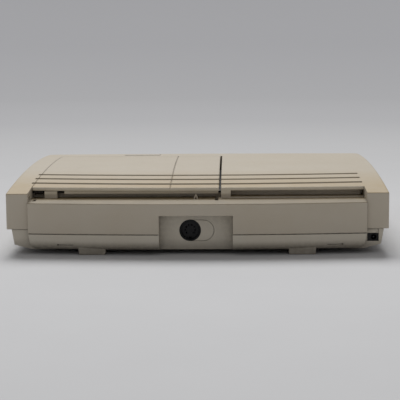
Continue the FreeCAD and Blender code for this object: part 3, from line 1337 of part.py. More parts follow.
def make_chassis():
    """Sheet metal deck with tabs that hold the sled's rails."""
    low = CHASSIS_TOP_Z - CHASSIS_T
    plate = box(DISC_X - CHASSIS_HALF, DISC_X + CHASSIS_HALF, CHASSIS_FRONT_Y, CHASSIS_REAR_Y,
                low, CHASSIS_TOP_Z)
    corners = edges_near(plate, lambda c, e: abs(e.BoundBox.ZLength - CHASSIS_T) < 0.01)
    plate = plate.makeFillet(CHASSIS_CORNER_R, corners)
    tab_low = RAIL_Z - SLED_RAIL_R - TAB_BELOW_RAIL
    half = SLED_HALF + TAB_RIM
    tabs = [box(DISC_X - half, DISC_X + half, CHASSIS_FRONT_Y, CHASSIS_FRONT_Y + CHASSIS_T,
                tab_low, low + TAB_BITE)]
    for side in (-1, 1):
        x = DISC_X + side * RAIL_X
        tabs.append(box(x - TAB_HALF, x + TAB_HALF, SLED_RAIL_REAR_Y - CHASSIS_T, SLED_RAIL_REAR_Y,
                        tab_low, low + TAB_BITE))
    deck = join([plate] + tabs)
    half = PICKUP_SLOT_HALF + CHASSIS_SLOT_RIM
    rear = LENS_Y + TURRET_R + CHASSIS_SLOT_RIM
    cuts = [box(DISC_X - half, DISC_X + half, CHASSIS_FRONT_Y + CHASSIS_SLOT_IN, rear, 0, HUGE / 4)]
    cuts.append(rod_z(TABLE_BOSS_R + 1, DISC_X, DISC_Y, 0, HUGE / 4))
    for side in (-1, 1):
        x = DISC_X + side * RAIL_X
        cuts.append(rod_y(SLED_RAIL_R, x, RAIL_Z, CHASSIS_FRONT_Y - 1, SLED_RAIL_REAR_Y + 1))
    for x, y in hub_places():
        cuts.append(rod_z(SCREW_R + SLIDE_GAP, x, y, 0, HUGE / 4))
    cuts.append(rod_z(POST_PIN_R, GEAR_X, GEAR_Y, 0, HUGE / 4))
    cuts.append(rod_z(SLED_SHAFT_HOLE, GEAR_X, PINION_Y, 0, HUGE / 4))
    return carve(deck, cuts)


def make_sled():
    """Pickup sled with bores for its rails and a turret for the lens."""
    y0 = DISC_Y - SLED_FRONT
    y1 = y0 + SLED_LENGTH
    top = CHASSIS_TOP_Z - CHASSIS_T - SLED_TOP_GAP
    body = box(DISC_X - SLED_HALF, DISC_X + SLED_HALF, y0, y1, SLED_BOTTOM_Z, top)
    uprights = edges_near(body, lambda c, e: upright(e))
    body = body.makeFillet(SLED_CORNER_R, uprights)
    turret = rod_z(TURRET_R, DISC_X, LENS_Y, top - 1, holder_bottom() + TURRET_RISE)
    sled = join([body, turret])
    cuts = [rod_z(HOLDER_R + SLIDE_GAP, DISC_X, LENS_Y, holder_bottom() - HOLDER_SINK, HUGE / 4)]
    for side in (-1, 1):
        cuts.append(rod_y(SLED_RAIL_R + PIN_CLEARANCE, DISC_X + side * RAIL_X, RAIL_Z, y0 - 1, y1 + 1))
        x = DISC_X + side * SLED_HALF / 2
        cuts.append(box(x - SLED_CUT_HALF, x + SLED_CUT_HALF, y0 - 1, y0 + SLED_CUT_L, SLED_BOTTOM_Z - 1,
                        SLED_BOTTOM_Z + SLED_CUT_H))
    return carve(sled, cuts)


def holder_bottom():
    """Height of the lens holder's foot."""
    return DISC_Z - LENS_DISC_GAP - LENS_CROWN - HOLDER_H


def make_lens():
    """Lens holder and lens."""
    low = holder_bottom()
    top = low + HOLDER_H
    holder = rod_z(HOLDER_R, DISC_X, LENS_Y, low, top)
    rims = edges_near(holder, lambda c, e: c.z > top - 0.1)
    holder = holder.makeFillet(HOLDER_EDGE_R, rims)
    holder = holder.cut(rod_z(LENS_R, DISC_X, LENS_Y, top - LENS_SINK, HUGE / 4))
    ball_r = LENS_R * LENS_BALL
    ball = Part.makeSphere(ball_r, V(DISC_X, LENS_Y, top + LENS_CROWN - ball_r), V(1, 0, 0))
    lens = rod_z(LENS_R - PRESS_GAP, DISC_X, LENS_Y, top - LENS_SINK, HUGE / 4).common(ball)
    return holder, lens


def flank_angle(radius, pitch_radius, half_thickness):
    """Half the angle that an involute tooth spans at a radius."""
    alpha = math.radians(PRESSURE_ANGLE)
    base = pitch_radius * math.cos(alpha)
    here = math.acos(min(1.0, base / max(radius, base)))
    return half_thickness / pitch_radius + (math.tan(alpha) - alpha) - (math.tan(here) - here)


def spur(teeth, phase, x, y, z0, z1):
    """A spur gear with involute teeth, one of them centred on the phase."""
    pitch_radius = TOOTH_MODULE * teeth / 2
    half = TOOTH_SHARE * math.pi * TOOTH_MODULE / 2
    root = pitch_radius - DEDENDUM * TOOTH_MODULE
    tip = pitch_radius + ADDENDUM * TOOTH_MODULE
    base = pitch_radius * math.cos(math.radians(PRESSURE_ANGLE))
    start = max(root, base)
    radii = [start + (tip - start) * k / 3 for k in range(4)]
    points = []
    for i in range(teeth):
        middle = phase + 2 * math.pi * i / teeth
        flank = [(root, flank_angle(start, pitch_radius, half))] if root < start else []
        flank = flank + [(r, flank_angle(r, pitch_radius, half)) for r in radii]
        for r, a in flank:
            points.append(V(x + r * math.cos(middle - a), y + r * math.sin(middle - a), z0))
        for r, a in reversed(flank):
            points.append(V(x + r * math.cos(middle + a), y + r * math.sin(middle + a), z0))
    return prism(points, V(0, 0, z1 - z0))


def make_rack():
    """Toothed bar at the sled's side."""
    pitch = math.pi * TOOTH_MODULE
    half = TOOTH_SHARE * pitch / 2
    lean = math.tan(math.radians(PRESSURE_ANGLE))
    root = PITCH_X - DEDENDUM * TOOTH_MODULE
    tip = PITCH_X + ADDENDUM * TOOTH_MODULE
    y0 = RACK_REAR_Y - RACK_LENGTH
    z0 = GEAR_Z
    first = math.ceil((y0 + pitch - GEAR_Y) / pitch - 0.5)
    last = math.floor((RACK_REAR_Y - pitch - GEAR_Y) / pitch - 0.5)
    points = [V(root, y0, z0)]
    for k in range(first, last + 1):
        y = GEAR_Y + (k + 0.5) * pitch
        low = half + DEDENDUM * TOOTH_MODULE * lean
        high = half - ADDENDUM * TOOTH_MODULE * lean
        points += [V(root, y - low, z0), V(tip, y - high, z0), V(tip, y + high, z0), V(root, y + low, z0)]
    points += [V(root, RACK_REAR_Y, z0), V(RACK_X - RACK_W, RACK_REAR_Y, z0), V(RACK_X - RACK_W, y0, z0)]
    return prism(points, V(0, 0, GEAR_T))


def make_sled_gear():
    """Idler between motor and rack, with its post."""
    gear = spur(GEAR_TEETH, 0.0, GEAR_X, GEAR_Y, GEAR_Z, GEAR_Z + GEAR_T)
    gear = gear.cut(rod_z(POST_PIN_R + SHAFT_CLEARANCE, GEAR_X, GEAR_Y, 0, HUGE / 4))
    top = CHASSIS_TOP_Z - CHASSIS_T
    collar = rod_z(POST_COLLAR_R, GEAR_X, GEAR_Y, GEAR_Z + GEAR_T + GEAR_TOP_GAP, top)
    pin = rod_z(POST_PIN_R, GEAR_X, GEAR_Y, GEAR_Z - POST_BELOW, CHASSIS_TOP_Z)
    washer = rod_z(POST_COLLAR_R, GEAR_X, GEAR_Y, GEAR_Z - POST_BELOW, GEAR_Z - GEAR_LOW_GAP)
    return gear, join([pin, collar, washer])


def make_sled_motor():
    """Small motor under the deck and its pinion with the shaft."""
    top = CHASSIS_TOP_Z - CHASSIS_T
    low = GEAR_Z + GEAR_T + SLED_MOTOR_GAP
    can = rod_z(SLED_MOTOR_R, GEAR_X, PINION_Y, low, top)
    rims = edges_near(can, lambda c, e: c.z < low + 0.1)
    can = can.makeFillet(SLED_MOTOR_EDGE, rims)
    can = can.cut(rod_z(SLED_SHAFT_R + SHAFT_CLEARANCE, GEAR_X, PINION_Y, 0, top - SLED_SHAFT_END))
    phase = math.radians(-90 + 180.0 / PINION_TEETH)
    pinion = spur(PINION_TEETH, phase, GEAR_X, PINION_Y, GEAR_Z, GEAR_Z + GEAR_T)
    shaft_top = top - SLED_SHAFT_END - SLED_SHAFT_GAP
    shaft = rod_z(SLED_SHAFT_R, GEAR_X, PINION_Y, GEAR_Z - SLED_SHAFT_BELOW, shaft_top)
    return can, join([pinion, shaft])


def make_sled_rails():
    """Two polished rods for the sled."""
    front = CHASSIS_FRONT_Y + RAIL_END_IN
    return [rod_y(SLED_RAIL_R, DISC_X + side * RAIL_X, RAIL_Z, front, SLED_RAIL_REAR_Y) for side in (-1, 1)]


def slot_pair(x, y, length, width, z0, z1):
    """Two crossed slots of a screw's head."""
    along = box(x - length / 2, x + length / 2, y - width / 2, y + width / 2, z0, z1)
    return along.fuse(box(x - width / 2, x + width / 2, y - length / 2, y + length / 2, z0, z1))


def screw_up(x, y, seat_z, length):
    """A small screw whose head lies under a seat and whose shank points up."""
    low = seat_z - SCREW_HEAD_T
    head = rod_z(SCREW_HEAD_R, x, y, low, seat_z)
    cross = slot_pair(x, y, SCREW_SLOT_L, SCREW_SLOT_W, low - 1, low + SCREW_SLOT_DEPTH)
    return join([head, rod_z(SCREW_R - PIN_CLEARANCE, x, y, seat_z, seat_z + length)]).cut(cross)


def make_deck_screws():
    """Screws of tray, deck and card guide."""
    screws = [screw_up(x, y, TRAY_TOP_Z - TRAY_T, TRAY_T + SCREW_BITE) for x, y in tray_screw_places()]
    reach = WELL_UNDER_Z + HUB_BORE - HUB_BORE_END - (CHASSIS_TOP_Z - CHASSIS_T)
    screws += [screw_up(x, y, CHASSIS_TOP_Z - CHASSIS_T, reach) for x, y in hub_places()]
    seat = CARD_Z + CARD_MOUTH_H / 2
    screws += [screw_up(x, y, seat, CARD_WALL + SCREW_BITE) for x, y in card_boss_places()]
    return screws


def make_card_guide():
    """Sleeve for a flat game card, with a taller mouth and four ears."""
    half = CARD_W / 2
    outer = half + CARD_WALL
    mouth_y = front_y(CARD_X - outer) + WALL + CARD_MOUTH_L
    low = CARD_Z - CARD_T / 2
    seat = CARD_Z + CARD_MOUTH_H / 2
    high = low + CARD_T + CARD_WALL
    parts = [box(CARD_X - outer, CARD_X + outer, -HUGE / 2, CARD_REAR_Y, low - CARD_WALL, high),
             box(CARD_X - outer, CARD_X + outer, -HUGE / 2, mouth_y + CARD_WALL,
                 CARD_Z - CARD_MOUTH_H / 2 - CARD_WALL, seat + CARD_WALL)]
    for x, y in card_boss_places():
        side = math.copysign(1, x - CARD_X)
        y0, y1 = y - BOSS_R - CARD_EAR_RIM, y + BOSS_R + CARD_EAR_RIM
        web = sorted([CARD_X + side * (outer - 1), CARD_X + side * (outer - 1 - CARD_WALL)])
        ear = sorted([web[0], x + side * (BOSS_R + CARD_EAR_RIM)])
        parts.append(box(ear[0], ear[1], y0, y1, seat, seat + CARD_WALL))
        parts.append(box(web[0], web[1], y0, y1, CARD_Z, seat + CARD_WALL))
    room = bowed_plan(HALF, 0, lambda x: front_y(x, WALL + CARD_FRONT_GAP), 0, HUGE / 4)
    sleeve = join(parts).common(room)
    cuts = [box(CARD_X - half, CARD_X + half, -HUGE / 2, 0, low, low + CARD_T),
            box(CARD_X - half, CARD_X + half, -HUGE / 2, mouth_y, CARD_Z - CARD_MOUTH_H / 2, seat)]
    for x, y in card_boss_places():
        cuts.append(rod_z(SCREW_R + SLIDE_GAP, x, y, 0, HUGE / 4))
    return carve(sleeve, cuts)


def make_card_connector():
    """Connector on the board that takes the card's end."""
    half = CARD_W / 2
    y0 = CARD_REAR_Y
    y1 = CARD_REAR_Y + CONNECTOR_LENGTH
    block = box(CARD_X - half, CARD_X + half, y0, y1, BOARD_TOP_Z, CARD_Z + CONNECTOR_RISE)
    inner = half - CONNECTOR_END
    slot = box(CARD_X - inner, CARD_X + inner, y0 - 1, y0 + CONNECTOR_SLOT, CARD_Z - CONNECTOR_SLOT_HALF,
               CARD_Z + CONNECTOR_SLOT_HALF)
    inner = half - CONNECTOR_WALL
    hollow = box(CARD_X - inner, CARD_X + inner, y0 + CONNECTOR_END, y1 - CONNECTOR_END, BOARD_TOP_Z - 1,
                 CARD_Z - CONNECTOR_RISE)
    return carve(block, [slot, hollow])


def make_main_board():
    """Main board with a wing under the DC inlet."""
    board = box(-BOARD_HALF_X, BOARD_HALF_X, BOARD_FRONT_Y, BOARD_REAR_Y, BOARD_Z, BOARD_TOP_Z)
    behind = LOWER_REAR_Y - WALL
    wing = box(-BOARD_HALF_X - WING_REACH, WING_BITE - BOARD_HALF_X, behind - DC_LENGTH,
               behind - WING_REAR_GAP, BOARD_Z, BOARD_TOP_Z)
    cuts = [rod_z(CASE_BOSS_R + BOARD_BOSS_GAP, x, y, 0, HUGE / 4) for x, y in CASE_SCREWS]
    cuts += [rod_z(SCREW_R + SLIDE_GAP, x, y, 0, HUGE / 4) for x, y in board_screw_places()]
    return carve(join([board, wing]), cuts)


def make_board_screws():
    """Screws that hold the board on its standoffs, heads up."""
    screws = []
    top = BOARD_TOP_Z + SCREW_HEAD_T
    for x, y in board_screw_places():
        head = rod_z(SCREW_HEAD_R, x, y, BOARD_TOP_Z, top)
        shank = rod_z(SCREW_R - PIN_CLEARANCE, x, y, FLOOR_Z - PILOT + PILOT_GAP, BOARD_TOP_Z)
        cross = slot_pair(x, y, SCREW_SLOT_L, SCREW_SLOT_W, top - SCREW_SLOT_DEPTH, top + 1)
        screws.append(join([head, shank]).cut(cross))
    return screws


def make_shield():
    """Pressed metal can over the middle of the board, with rows of vents."""
    top = BOARD_TOP_Z + SHIELD_H
    can = box(SHIELD_X0, SHIELD_X1, SHIELD_Y0, SHIELD_Y1, BOARD_TOP_Z, top)
    uprights = edges_near(can, lambda c, e: upright(e))
    can = can.makeFillet(SHIELD_CORNER_R, uprights)
    hollow = box(SHIELD_X0 + SHIELD_T, SHIELD_X1 - SHIELD_T, SHIELD_Y0 + SHIELD_T, SHIELD_Y1 - SHIELD_T,
                 BOARD_TOP_Z - 1, top - SHIELD_T)
    uprights = edges_near(hollow, lambda c, e: upright(e))
    can = can.cut(hollow.makeFillet(SHIELD_CORNER_R - SHIELD_T, uprights))
    vents = []
    for i in range(VENT_COLUMNS):
        x = SHIELD_X0 + VENT_EDGE + i * VENT_PITCH
        for j in range(VENT_ROWS):
            y = SHIELD_Y1 - VENT_EDGE - j * VENT_PITCH
            vents.append(rod_z(VENT_R, x, y, top - 2 * SHIELD_T, top + 1))
    return carve(can, vents)


def make_chips():
    """Packaged chips on the board, three of them under the shield."""
    x0 = SHIELD_X0 + CHIP_IN
    y0 = SHIELD_Y0 + CHIP_IN
    places = [(x0, y0, MEMORY_SIDE, MEMORY_SIDE), (x0 + CHIP_PITCH, y0, MEMORY_SIDE, MEMORY_SIDE),
              (x0 + CHIP_PITCH / 2, y0 + CHIP_ROW, PROCESSOR_SIDE, PROCESSOR_SIDE),
              (SOUND_X, SOUND_Y, SOUND_SIDE, SOUND_SIDE), (VIDEO_X, VIDEO_Y, VIDEO_W, VIDEO_L)]
    top = BOARD_TOP_Z + CHIP_T
    chips = []
    for x, y, a, b in places:
        chip = box(x - a / 2, x + a / 2, y - b / 2, y + b / 2, BOARD_TOP_Z, top)
        chips.append(chip.makeChamfer(CHIP_EDGE, edges_near(chip, lambda c, e: c.z > top - 0.1)))
    return chips


def make_capacitors():
    """Round capacitors on the board, tall ones at its side and low ones at its rear."""
    side_x = CAP_SIDE_IN - BOARD_HALF_X
    rear_x = CAP_REAR_SIDE_IN - BOARD_HALF_X
    rear_y = BOARD_REAR_Y - CAP_REAR_IN
    places = [(side_x, CAP_SIDE_Y + i * CAP_PITCH, CAP_TALL_R, CAP_TALL_H) for i in range(CAP_TALL_COUNT)]
    places += [(rear_x + i * CAP_PITCH, rear_y, CAP_LOW_R, CAP_LOW_H) for i in range(CAP_LOW_COUNT)]
    cans = []
    for x, y, r, h in places:
        can = rod_z(r, x, y, BOARD_TOP_Z, BOARD_TOP_Z + h)
        cans.append(can.makeFillet(CAP_EDGE_R, edges_near(can, lambda c, e: c.z > BOARD_TOP_Z + h - 0.1)))
    return cans


def make_heat_sink():
    """Finned heat sink and the regulator that is screwed to it."""
    x1 = BOARD_HALF_X - SINK_SIDE_IN
    x0 = x1 - SINK_LENGTH
    y1 = BOARD_REAR_Y - SINK_REAR_IN
    y0 = y1 - SINK_W
    top = BOARD_TOP_Z + SINK_H
    fins = [box(x0, x1, y0, y0 + SINK_BASE_T, BOARD_TOP_Z, top)]
    pitch = (SINK_LENGTH - FIN_T) / (FIN_COUNT - 1)
    for i in range(FIN_COUNT):
        x = x0 + i * pitch
        fins.append(box(x, x + FIN_T, y0 + SINK_BASE_T - FIN_BITE, y1, BOARD_TOP_Z, top))
    x = x0 + REGULATOR_IN
    regulator = box(x, x + REGULATOR_W, y0 - REGULATOR_T, y0, BOARD_TOP_Z, BOARD_TOP_Z + REGULATOR_H)
    return join(fins), regulator


def make_av_socket():
    """Round AV socket: housing with its collar, insert with holes, and contact sleeves."""
    y_body = RECESS_Y - WALL
    back = RECESS_Y - AV_BORE_DEPTH
    mouth = RECESS_Y - AV_MOUTH_L
    half = AV_BODY_W / 2
    body = box(AV_X - half, AV_X + half, y_body - AV_BODY_L, y_body, BOARD_TOP_Z, AV_Z + half)
    collar = rod_y(AV_R - PIN_CLEARANCE, AV_X, AV_Z, y_body - 1, RECESS_Y)
    bores = [rod_y(AV_BORE_R, AV_X, AV_Z, mouth, RECESS_Y + 1),
             rod_y(AV_RELIEF_R, AV_X, AV_Z, AV_FACE_Y, mouth),
             rod_y(AV_INSERT_R + PRESS_GAP, AV_X, AV_Z, back, AV_FACE_Y)]
    housing = carve(join([body, collar]), bores)
    insert = rod_y(AV_INSERT_R, AV_X, AV_Z, back, AV_FACE_Y)
    sleeves = []
    holes = []
    spread = math.radians(AV_CONTACT_SPREAD)
    start = back + AV_CONTACT_IN
    for i in range(AV_CONTACTS):
        angle = math.pi / 2 - spread / 2 + math.pi + spread * i / (AV_CONTACTS - 1)
        x = AV_X + AV_CONTACT_CIRCLE * math.cos(angle)
        z = AV_Z - AV_CONTACT_CIRCLE * math.sin(angle)
        holes.append(rod_y(AV_CONTACT_R, x, z, start, RECESS_Y))
        tube = rod_y(AV_CONTACT_R, x, z, start, AV_FACE_Y - AV_CONTACT_SINK)
        sleeves.append(tube.cut(rod_y(AV_CONTACT_BORE_R, x, z, start + AV_CONTACT_IN, RECESS_Y)))
    low = AV_Z - AV_INSERT_R
    key = box(AV_X - AV_KEY_W / 2, AV_X + AV_KEY_W / 2, back + AV_KEY_IN, RECESS_Y, low - 1, low + AV_KEY_H)
    return housing, carve(insert, holes + [key]), sleeves


def dc_pocket():
    """Room in the lower shell's wall for the DC inlet."""
    behind = LOWER_REAR_Y - WALL
    x1 = DC_X1 + DC_POCKET_REACH
    return box(DC_X0, x1, behind - DC_LENGTH, behind + DC_POCKET_GAP, BOARD_TOP_Z, DC_Z1)


def make_dc_inlet():
    """DC inlet with its bore, and the centre pin."""
    rear = LOWER_REAR_Y - DC_SETBACK
    behind = LOWER_REAR_Y - WALL
    tip_y = rear - DC_PIN_SINK
    body = box(DC_X0, DC_X1 + DC_BODY_REACH, behind - DC_LENGTH, behind, BOARD_TOP_Z, DC_TOP_Z)
    nose = box(DC_X0, DC_X1, behind - 1, rear, DC_Z0, DC_TOP_Z)
    bore = rod_y(DC_BORE_R, DC_AXIS_X, DC_AXIS_Z, rear - DC_BORE_DEPTH, rear + 1)
    pin = rod_y(DC_PIN_R, DC_AXIS_X, DC_AXIS_Z, rear - DC_BORE_DEPTH, tip_y)
    tip = edges_near(pin, lambda c, e: c.y > tip_y - 0.1)
    return join([body, nose]).cut(bore), pin.makeFillet(DC_PIN_EDGE, tip)


def make_controller_socket():
    """Socket for the controller's plug, in the front."""
    half = PAD_SOCKET_W / 2
    x, z = PAD_SOCKET_X, PAD_SOCKET_Z
    face = front_y(x - half) + WALL + SLIDE_GAP
    body = box(x - half, x + half, face, face + PAD_SOCKET_L, BOARD_TOP_Z, z + half)
    mouth = front_y(x) + PAD_SOCKET_SINK
    relief = mouth + PAD_MOUTH_L
    front = relief + PAD_RELIEF_L
    back = front + PAD_INSERT_L
    collar = rod_y(PAD_SOCKET_R, x, z, mouth, face + 1)
    bores = [rod_y(PAD_SOCKET_BORE_R, x, z, mouth - 1, relief), rod_y(PAD_RELIEF_R, x, z, relief, front),
             rod_y(PAD_INSERT_R + PRESS_GAP, x, z, front, back)]
    housing = carve(join([body, collar]), bores)
    insert = rod_y(PAD_INSERT_R, x, z, front, back)
    holes = []
    for count, row in ((2, 1), (3, 0), (3, -1)):
        for i in range(count):
            hole_x = x + (i - (count - 1) / 2) * PAD_HOLE_PITCH
            hole_z = z + row * PAD_HOLE_ROW
            holes.append(rod_y(PAD_HOLE_R, hole_x, hole_z, front - 1, front + PAD_HOLE_DEPTH))
    return housing, carve(insert, holes)


def make_power_switch():
    """Slide switch behind the front, and its knob."""
    seat = front_seat_y()
    half = POWER_TRAVEL / 2 + POWER_KNOB_W / 2 + POWER_BODY_RIM
    high = POWER_BODY_H / 2
    body = box(POWER_X - half, POWER_X + half, seat, seat + POWER_BODY_T, POWER_Z - high, POWER_Z + high)
    half = POWER_TRAVEL / 2 + POWER_STEM_W / 2 + SLIDE_GAP
    high = POWER_STEM_H / 2
    slot = box(POWER_X - half, POWER_X + half, seat - 1, seat + POWER_STEM_L, POWER_Z - high - SLIDE_GAP,
               POWER_Z + high + SLIDE_GAP)
    x = POWER_X - POWER_TRAVEL / 2
    front = front_y(POWER_X - POWER_TRAVEL) - POWER_PROUD
    back = seat - SLIDE_GAP
    stem = box(x - POWER_STEM_W / 2, x + POWER_STEM_W / 2, back - 1, back + POWER_STEM_L, POWER_Z - high,
               POWER_Z + high)
    high = POWER_KNOB_H / 2
    knob = box(x - POWER_KNOB_W / 2, x + POWER_KNOB_W / 2, front, back, POWER_Z - high, POWER_Z + high)
    rims = edges_near(knob, lambda c, e: c.y < front + 0.01)
    knob = knob.makeFillet(POWER_EDGE_R, rims)
    ribs = []
    for k in (-1, 0, 1):
        x0 = x + k * POWER_RIB_PITCH - POWER_RIB_W / 2
        ribs.append(box(x0, x0 + POWER_RIB_W, front - 1, front + POWER_EDGE_R, POWER_Z - POWER_RIB_H / 2,
                        POWER_Z + POWER_RIB_H / 2))
    return body.cut(slot), join([knob, stem]).cut(ribs)


def make_lamps():
    """Two lamp lenses in the front, and the small board with the lamps."""
    seat = front_seat_y()
    dome = seat - LED_DOME
    lenses = []
    domes = []
    for x in led_places():
        lenses.append(rod_y(LED_R - PIN_CLEARANCE, x, LED_Z, front_y(x) + LED_SINK, dome - LED_DOME_GAP))
        domes.append(rod_y(LED_R, x, LED_Z, dome, seat + LED_BOARD_T / 2))
    half = LED_BOARD_W / 2
    high = LED_BOARD_H / 2
    board = box(LED_X - half, LED_X + half, seat, seat + LED_BOARD_T, LED_Z - high, LED_Z + high)
    return lenses, join([board] + domes)


def make_lid_switch():
    """Switch under the tray and its plunger, held down by the shut lid."""
    under = TRAY_TOP_Z - TRAY_T
    half = SWITCH_SIDE / 2
    body = box(SWITCH_X - half, SWITCH_X + half, SWITCH_Y - half, SWITCH_Y + half, under - SWITCH_H, under)
    low = under - PLUNGER_SINK
    bottom = low - PLUNGER_TRAVEL - SLIDE_GAP
    body = body.cut(rod_z(PLUNGER_R + SLIDE_GAP / 2, SWITCH_X, SWITCH_Y, bottom, HUGE / 4))
    plunger = rod_z(PLUNGER_R, SWITCH_X, SWITCH_Y, low, plunger_top())
    crown = edges_near(plunger, lambda c, e: c.z > plunger_top() - 0.1)
    return body, plunger.makeFillet(PLUNGER_EDGE, crown)


def make_case_screws():
    """Screws that close the case from below."""
    screws = []
    seat = FOOT_H + COUNTERBORE
    low = seat - CASE_SCREW_HEAD_T
    for x, y in CASE_SCREWS:
        head = rod_z(CASE_SCREW_HEAD_R, x, y, low, seat)
        shank = rod_z(CASE_SCREW_R - PIN_CLEARANCE, x, y, seat, CASE_BOSS_Z + CASE_SCREW_BITE)
        cross = slot_pair(x, y, CASE_CROSS_L, CASE_CROSS_W, low - 1, low + CASE_CROSS_DEPTH)
        screws.append(join([head, shank]).cut(cross))
    return screws


def make_front_feet():
    """Rubber pads under the front."""
    pads = []
    for side in (-1, 1):
        pad = rod_z(FRONT_FOOT_R, side * FRONT_FOOT_X, FRONT_FOOT_Y, 0, FOOT_H + FOOT_PAD_SINK)
        pads.append(pad.makeFillet(FOOT_PAD_EDGE, edges_near(pad, lambda c, e: c.z < 0.1)))
    return pads


def make_grommets():
    """Soft rings between the deck and the tray."""
    rings = []
    for x, y in hub_places():
        ring = ring_z(GROMMET_R, SCREW_R + SLIDE_GAP, x, y, CHASSIS_TOP_Z, WELL_UNDER_Z)
        waist = ring_z(GROMMET_R + 1, GROMMET_R - GROMMET_WAIST, x, y, CHASSIS_TOP_Z + GROMMET_RIM,
                       WELL_UNDER_Z - GROMMET_RIM)
        rings.append(ring.cut(waist))
    return rings


def export(node, shapes):
    """Checks the solids of a node and writes them."""
    shape = shapes[0] if len(shapes) == 1 else Part.makeCompound(shapes)
    solids = shape.Solids
    good = all(s.isValid() and s.isClosed() for s in solids)
    print(node, "solids", len(solids), "valid", good, "volume", round(sum(s.Volume for s in solids), 2))
    if len(solids) == 1:
        shape = solids[0]
    shape.exportStep(os.path.join("parts", node + ".step"))


def main():
    """Builds every node and writes it."""
    os.makedirs("parts", exist_ok=True)
    export("top_case", [make_top_case()])
    export("bottom_case", [make_bottom_case()])
    export("disc_lid", [make_disc_lid()])
    export("lid_liner", [make_lid_liner()])
    clamp, magnet, retainer = make_clamp()
    export("disc_clamp", [clamp])
    export("clamp_magnet", [magnet])
    export("clamp_retainer", [retainer])
    export("lid_hinge_pins", make_hinge_pins())
    export("lid_spring", [make_lid_spring()])
    export("lid_hinge_clip", [make_lid_clip()])
    export("lid_latch_hook", [make_latch_hook()])
    export("latch_slider", [make_latch_slider()])
    export("open_button", [make_open_button()])
    export("disc_well", [make_disc_well()])
    export("deck_chassis", [make_chassis()])
    export("deck_grommets", make_grommets())
    export("deck_screws", make_deck_screws())
    export("spindle_motor", [make_spindle_motor()])
    turntable, pad = make_turntable()
    export("turntable", [turntable])
    export("turntable_pad", [pad])
    export("sled_rails", make_sled_rails())
    export("pickup_sled", [make_sled()])
    holder, lens = make_lens()
    export("lens_holder", [holder])
    export("pickup_lens", [lens])
    export("sled_rack", [make_rack()])
    gear, post = make_sled_gear()
    export("sled_gear", [gear])
    export("gear_post", [post])
    motor, pinion = make_sled_motor()
    export("sled_motor", [motor])
    export("sled_motor_pinion", [pinion])
    switch, plunger = make_lid_switch()
    export("lid_switch_body", [switch])
    export("lid_switch_plunger", [plunger])
    export("card_guide", [make_card_guide()])
    export("card_connector", [make_card_connector()])
    export("main_board", [make_main_board()])
    export("board_screws", make_board_screws())
    export("board_shield", [make_shield()])
    export("board_chips", make_chips())
    export("board_capacitors", make_capacitors())
    sink, regulator = make_heat_sink()
    export("heat_sink", [sink])
    export("voltage_regulator", [regulator])
    housing, insert, sleeves = make_av_socket()
    export("av_socket_housing", [housing])
    export("av_socket_insert", [insert])
    export("av_socket_contacts", sleeves)
    inlet, pin = make_dc_inlet()
    export("dc_inlet_body", [inlet])
    export("dc_inlet_pin", [pin])
    plug, contacts = make_controller_socket()
    export("controller_socket_body", [plug])
    export("controller_socket_insert", [contacts])
    body, knob = make_power_switch()
    export("power_switch_body", [body])
    export("power_switch_knob", [knob])
    lenses, lamps = make_lamps()
    export("lamp_lenses", lenses)
    export("lamp_board", [lamps])
    export("case_screws", make_case_screws())
    export("front_foot_pads", make_front_feet())


main()
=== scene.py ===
"""Looks of a cream disc console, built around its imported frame.

Lengths are metres in the row frame: X to the right seen from the front, Y to the rear, Z up.
Grain, patch sizes and spans inside the finishes are millimetres.
"""

from __future__ import annotations

import logging
import math
import random
from dataclasses import dataclass
from enum import Enum
from functools import cached_property, reduce
from typing import ClassVar, Mapping, Sequence

import bpy
from mathutils import Matrix, Vector
from mathutils.bvhtree import BVHTree

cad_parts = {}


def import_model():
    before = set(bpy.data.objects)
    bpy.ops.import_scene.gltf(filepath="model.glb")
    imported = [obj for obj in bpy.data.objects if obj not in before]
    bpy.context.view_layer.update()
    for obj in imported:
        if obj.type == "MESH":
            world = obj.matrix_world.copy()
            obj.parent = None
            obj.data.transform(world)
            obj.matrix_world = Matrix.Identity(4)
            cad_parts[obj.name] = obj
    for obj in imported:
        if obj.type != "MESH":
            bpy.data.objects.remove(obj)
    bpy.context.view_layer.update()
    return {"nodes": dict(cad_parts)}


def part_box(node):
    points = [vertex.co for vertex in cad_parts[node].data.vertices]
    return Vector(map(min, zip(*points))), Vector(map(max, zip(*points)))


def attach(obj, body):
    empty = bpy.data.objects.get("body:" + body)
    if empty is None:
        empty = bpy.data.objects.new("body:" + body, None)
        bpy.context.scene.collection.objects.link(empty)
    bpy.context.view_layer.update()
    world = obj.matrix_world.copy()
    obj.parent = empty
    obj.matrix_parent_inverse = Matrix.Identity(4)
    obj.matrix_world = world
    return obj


LOG = logging.getLogger("disc_console")
MM_PER_M = 1000.0
UP = Vector((0.0, 0.0, 1.0))

Triple = tuple[float, float, float]
Colour = Triple
Span = tuple[float, float]
Box = tuple[Vector, Vector]
Socket = bpy.types.NodeSocket
Outputs = bpy.types.NodeOutputs
Material = bpy.types.Material
Piece = bpy.types.Object
Value = float | Sequence[float] | Socket


def linear(colour: Colour) -> tuple[float, float, float, float]:
    """Turns a colour as it looks on screen into the renderer's own scale, along the sRGB curve.

    Args:
        colour: Red, green and blue from 0 to 255.

    Returns:
        Red, green, blue and a full alpha.
    """
    shares = (level / 255.0 for level in colour)
    red, green, blue = (share / 12.92 if share <= 0.04045 else ((share + 0.055) / 1.055) ** 2.4
                        for share in shares)
    return (red, green, blue, 1.0)


def put(name: str, data: bpy.types.ID) -> Piece:
    """Puts a mesh, a lamp or a camera into the scene.

    Args:
        name: The new object's name.
        data: What it shows.

    Returns:
        The new object.
    """
    made = bpy.data.objects.new(name, data)
    bpy.context.scene.collection.objects.link(made)
    return made


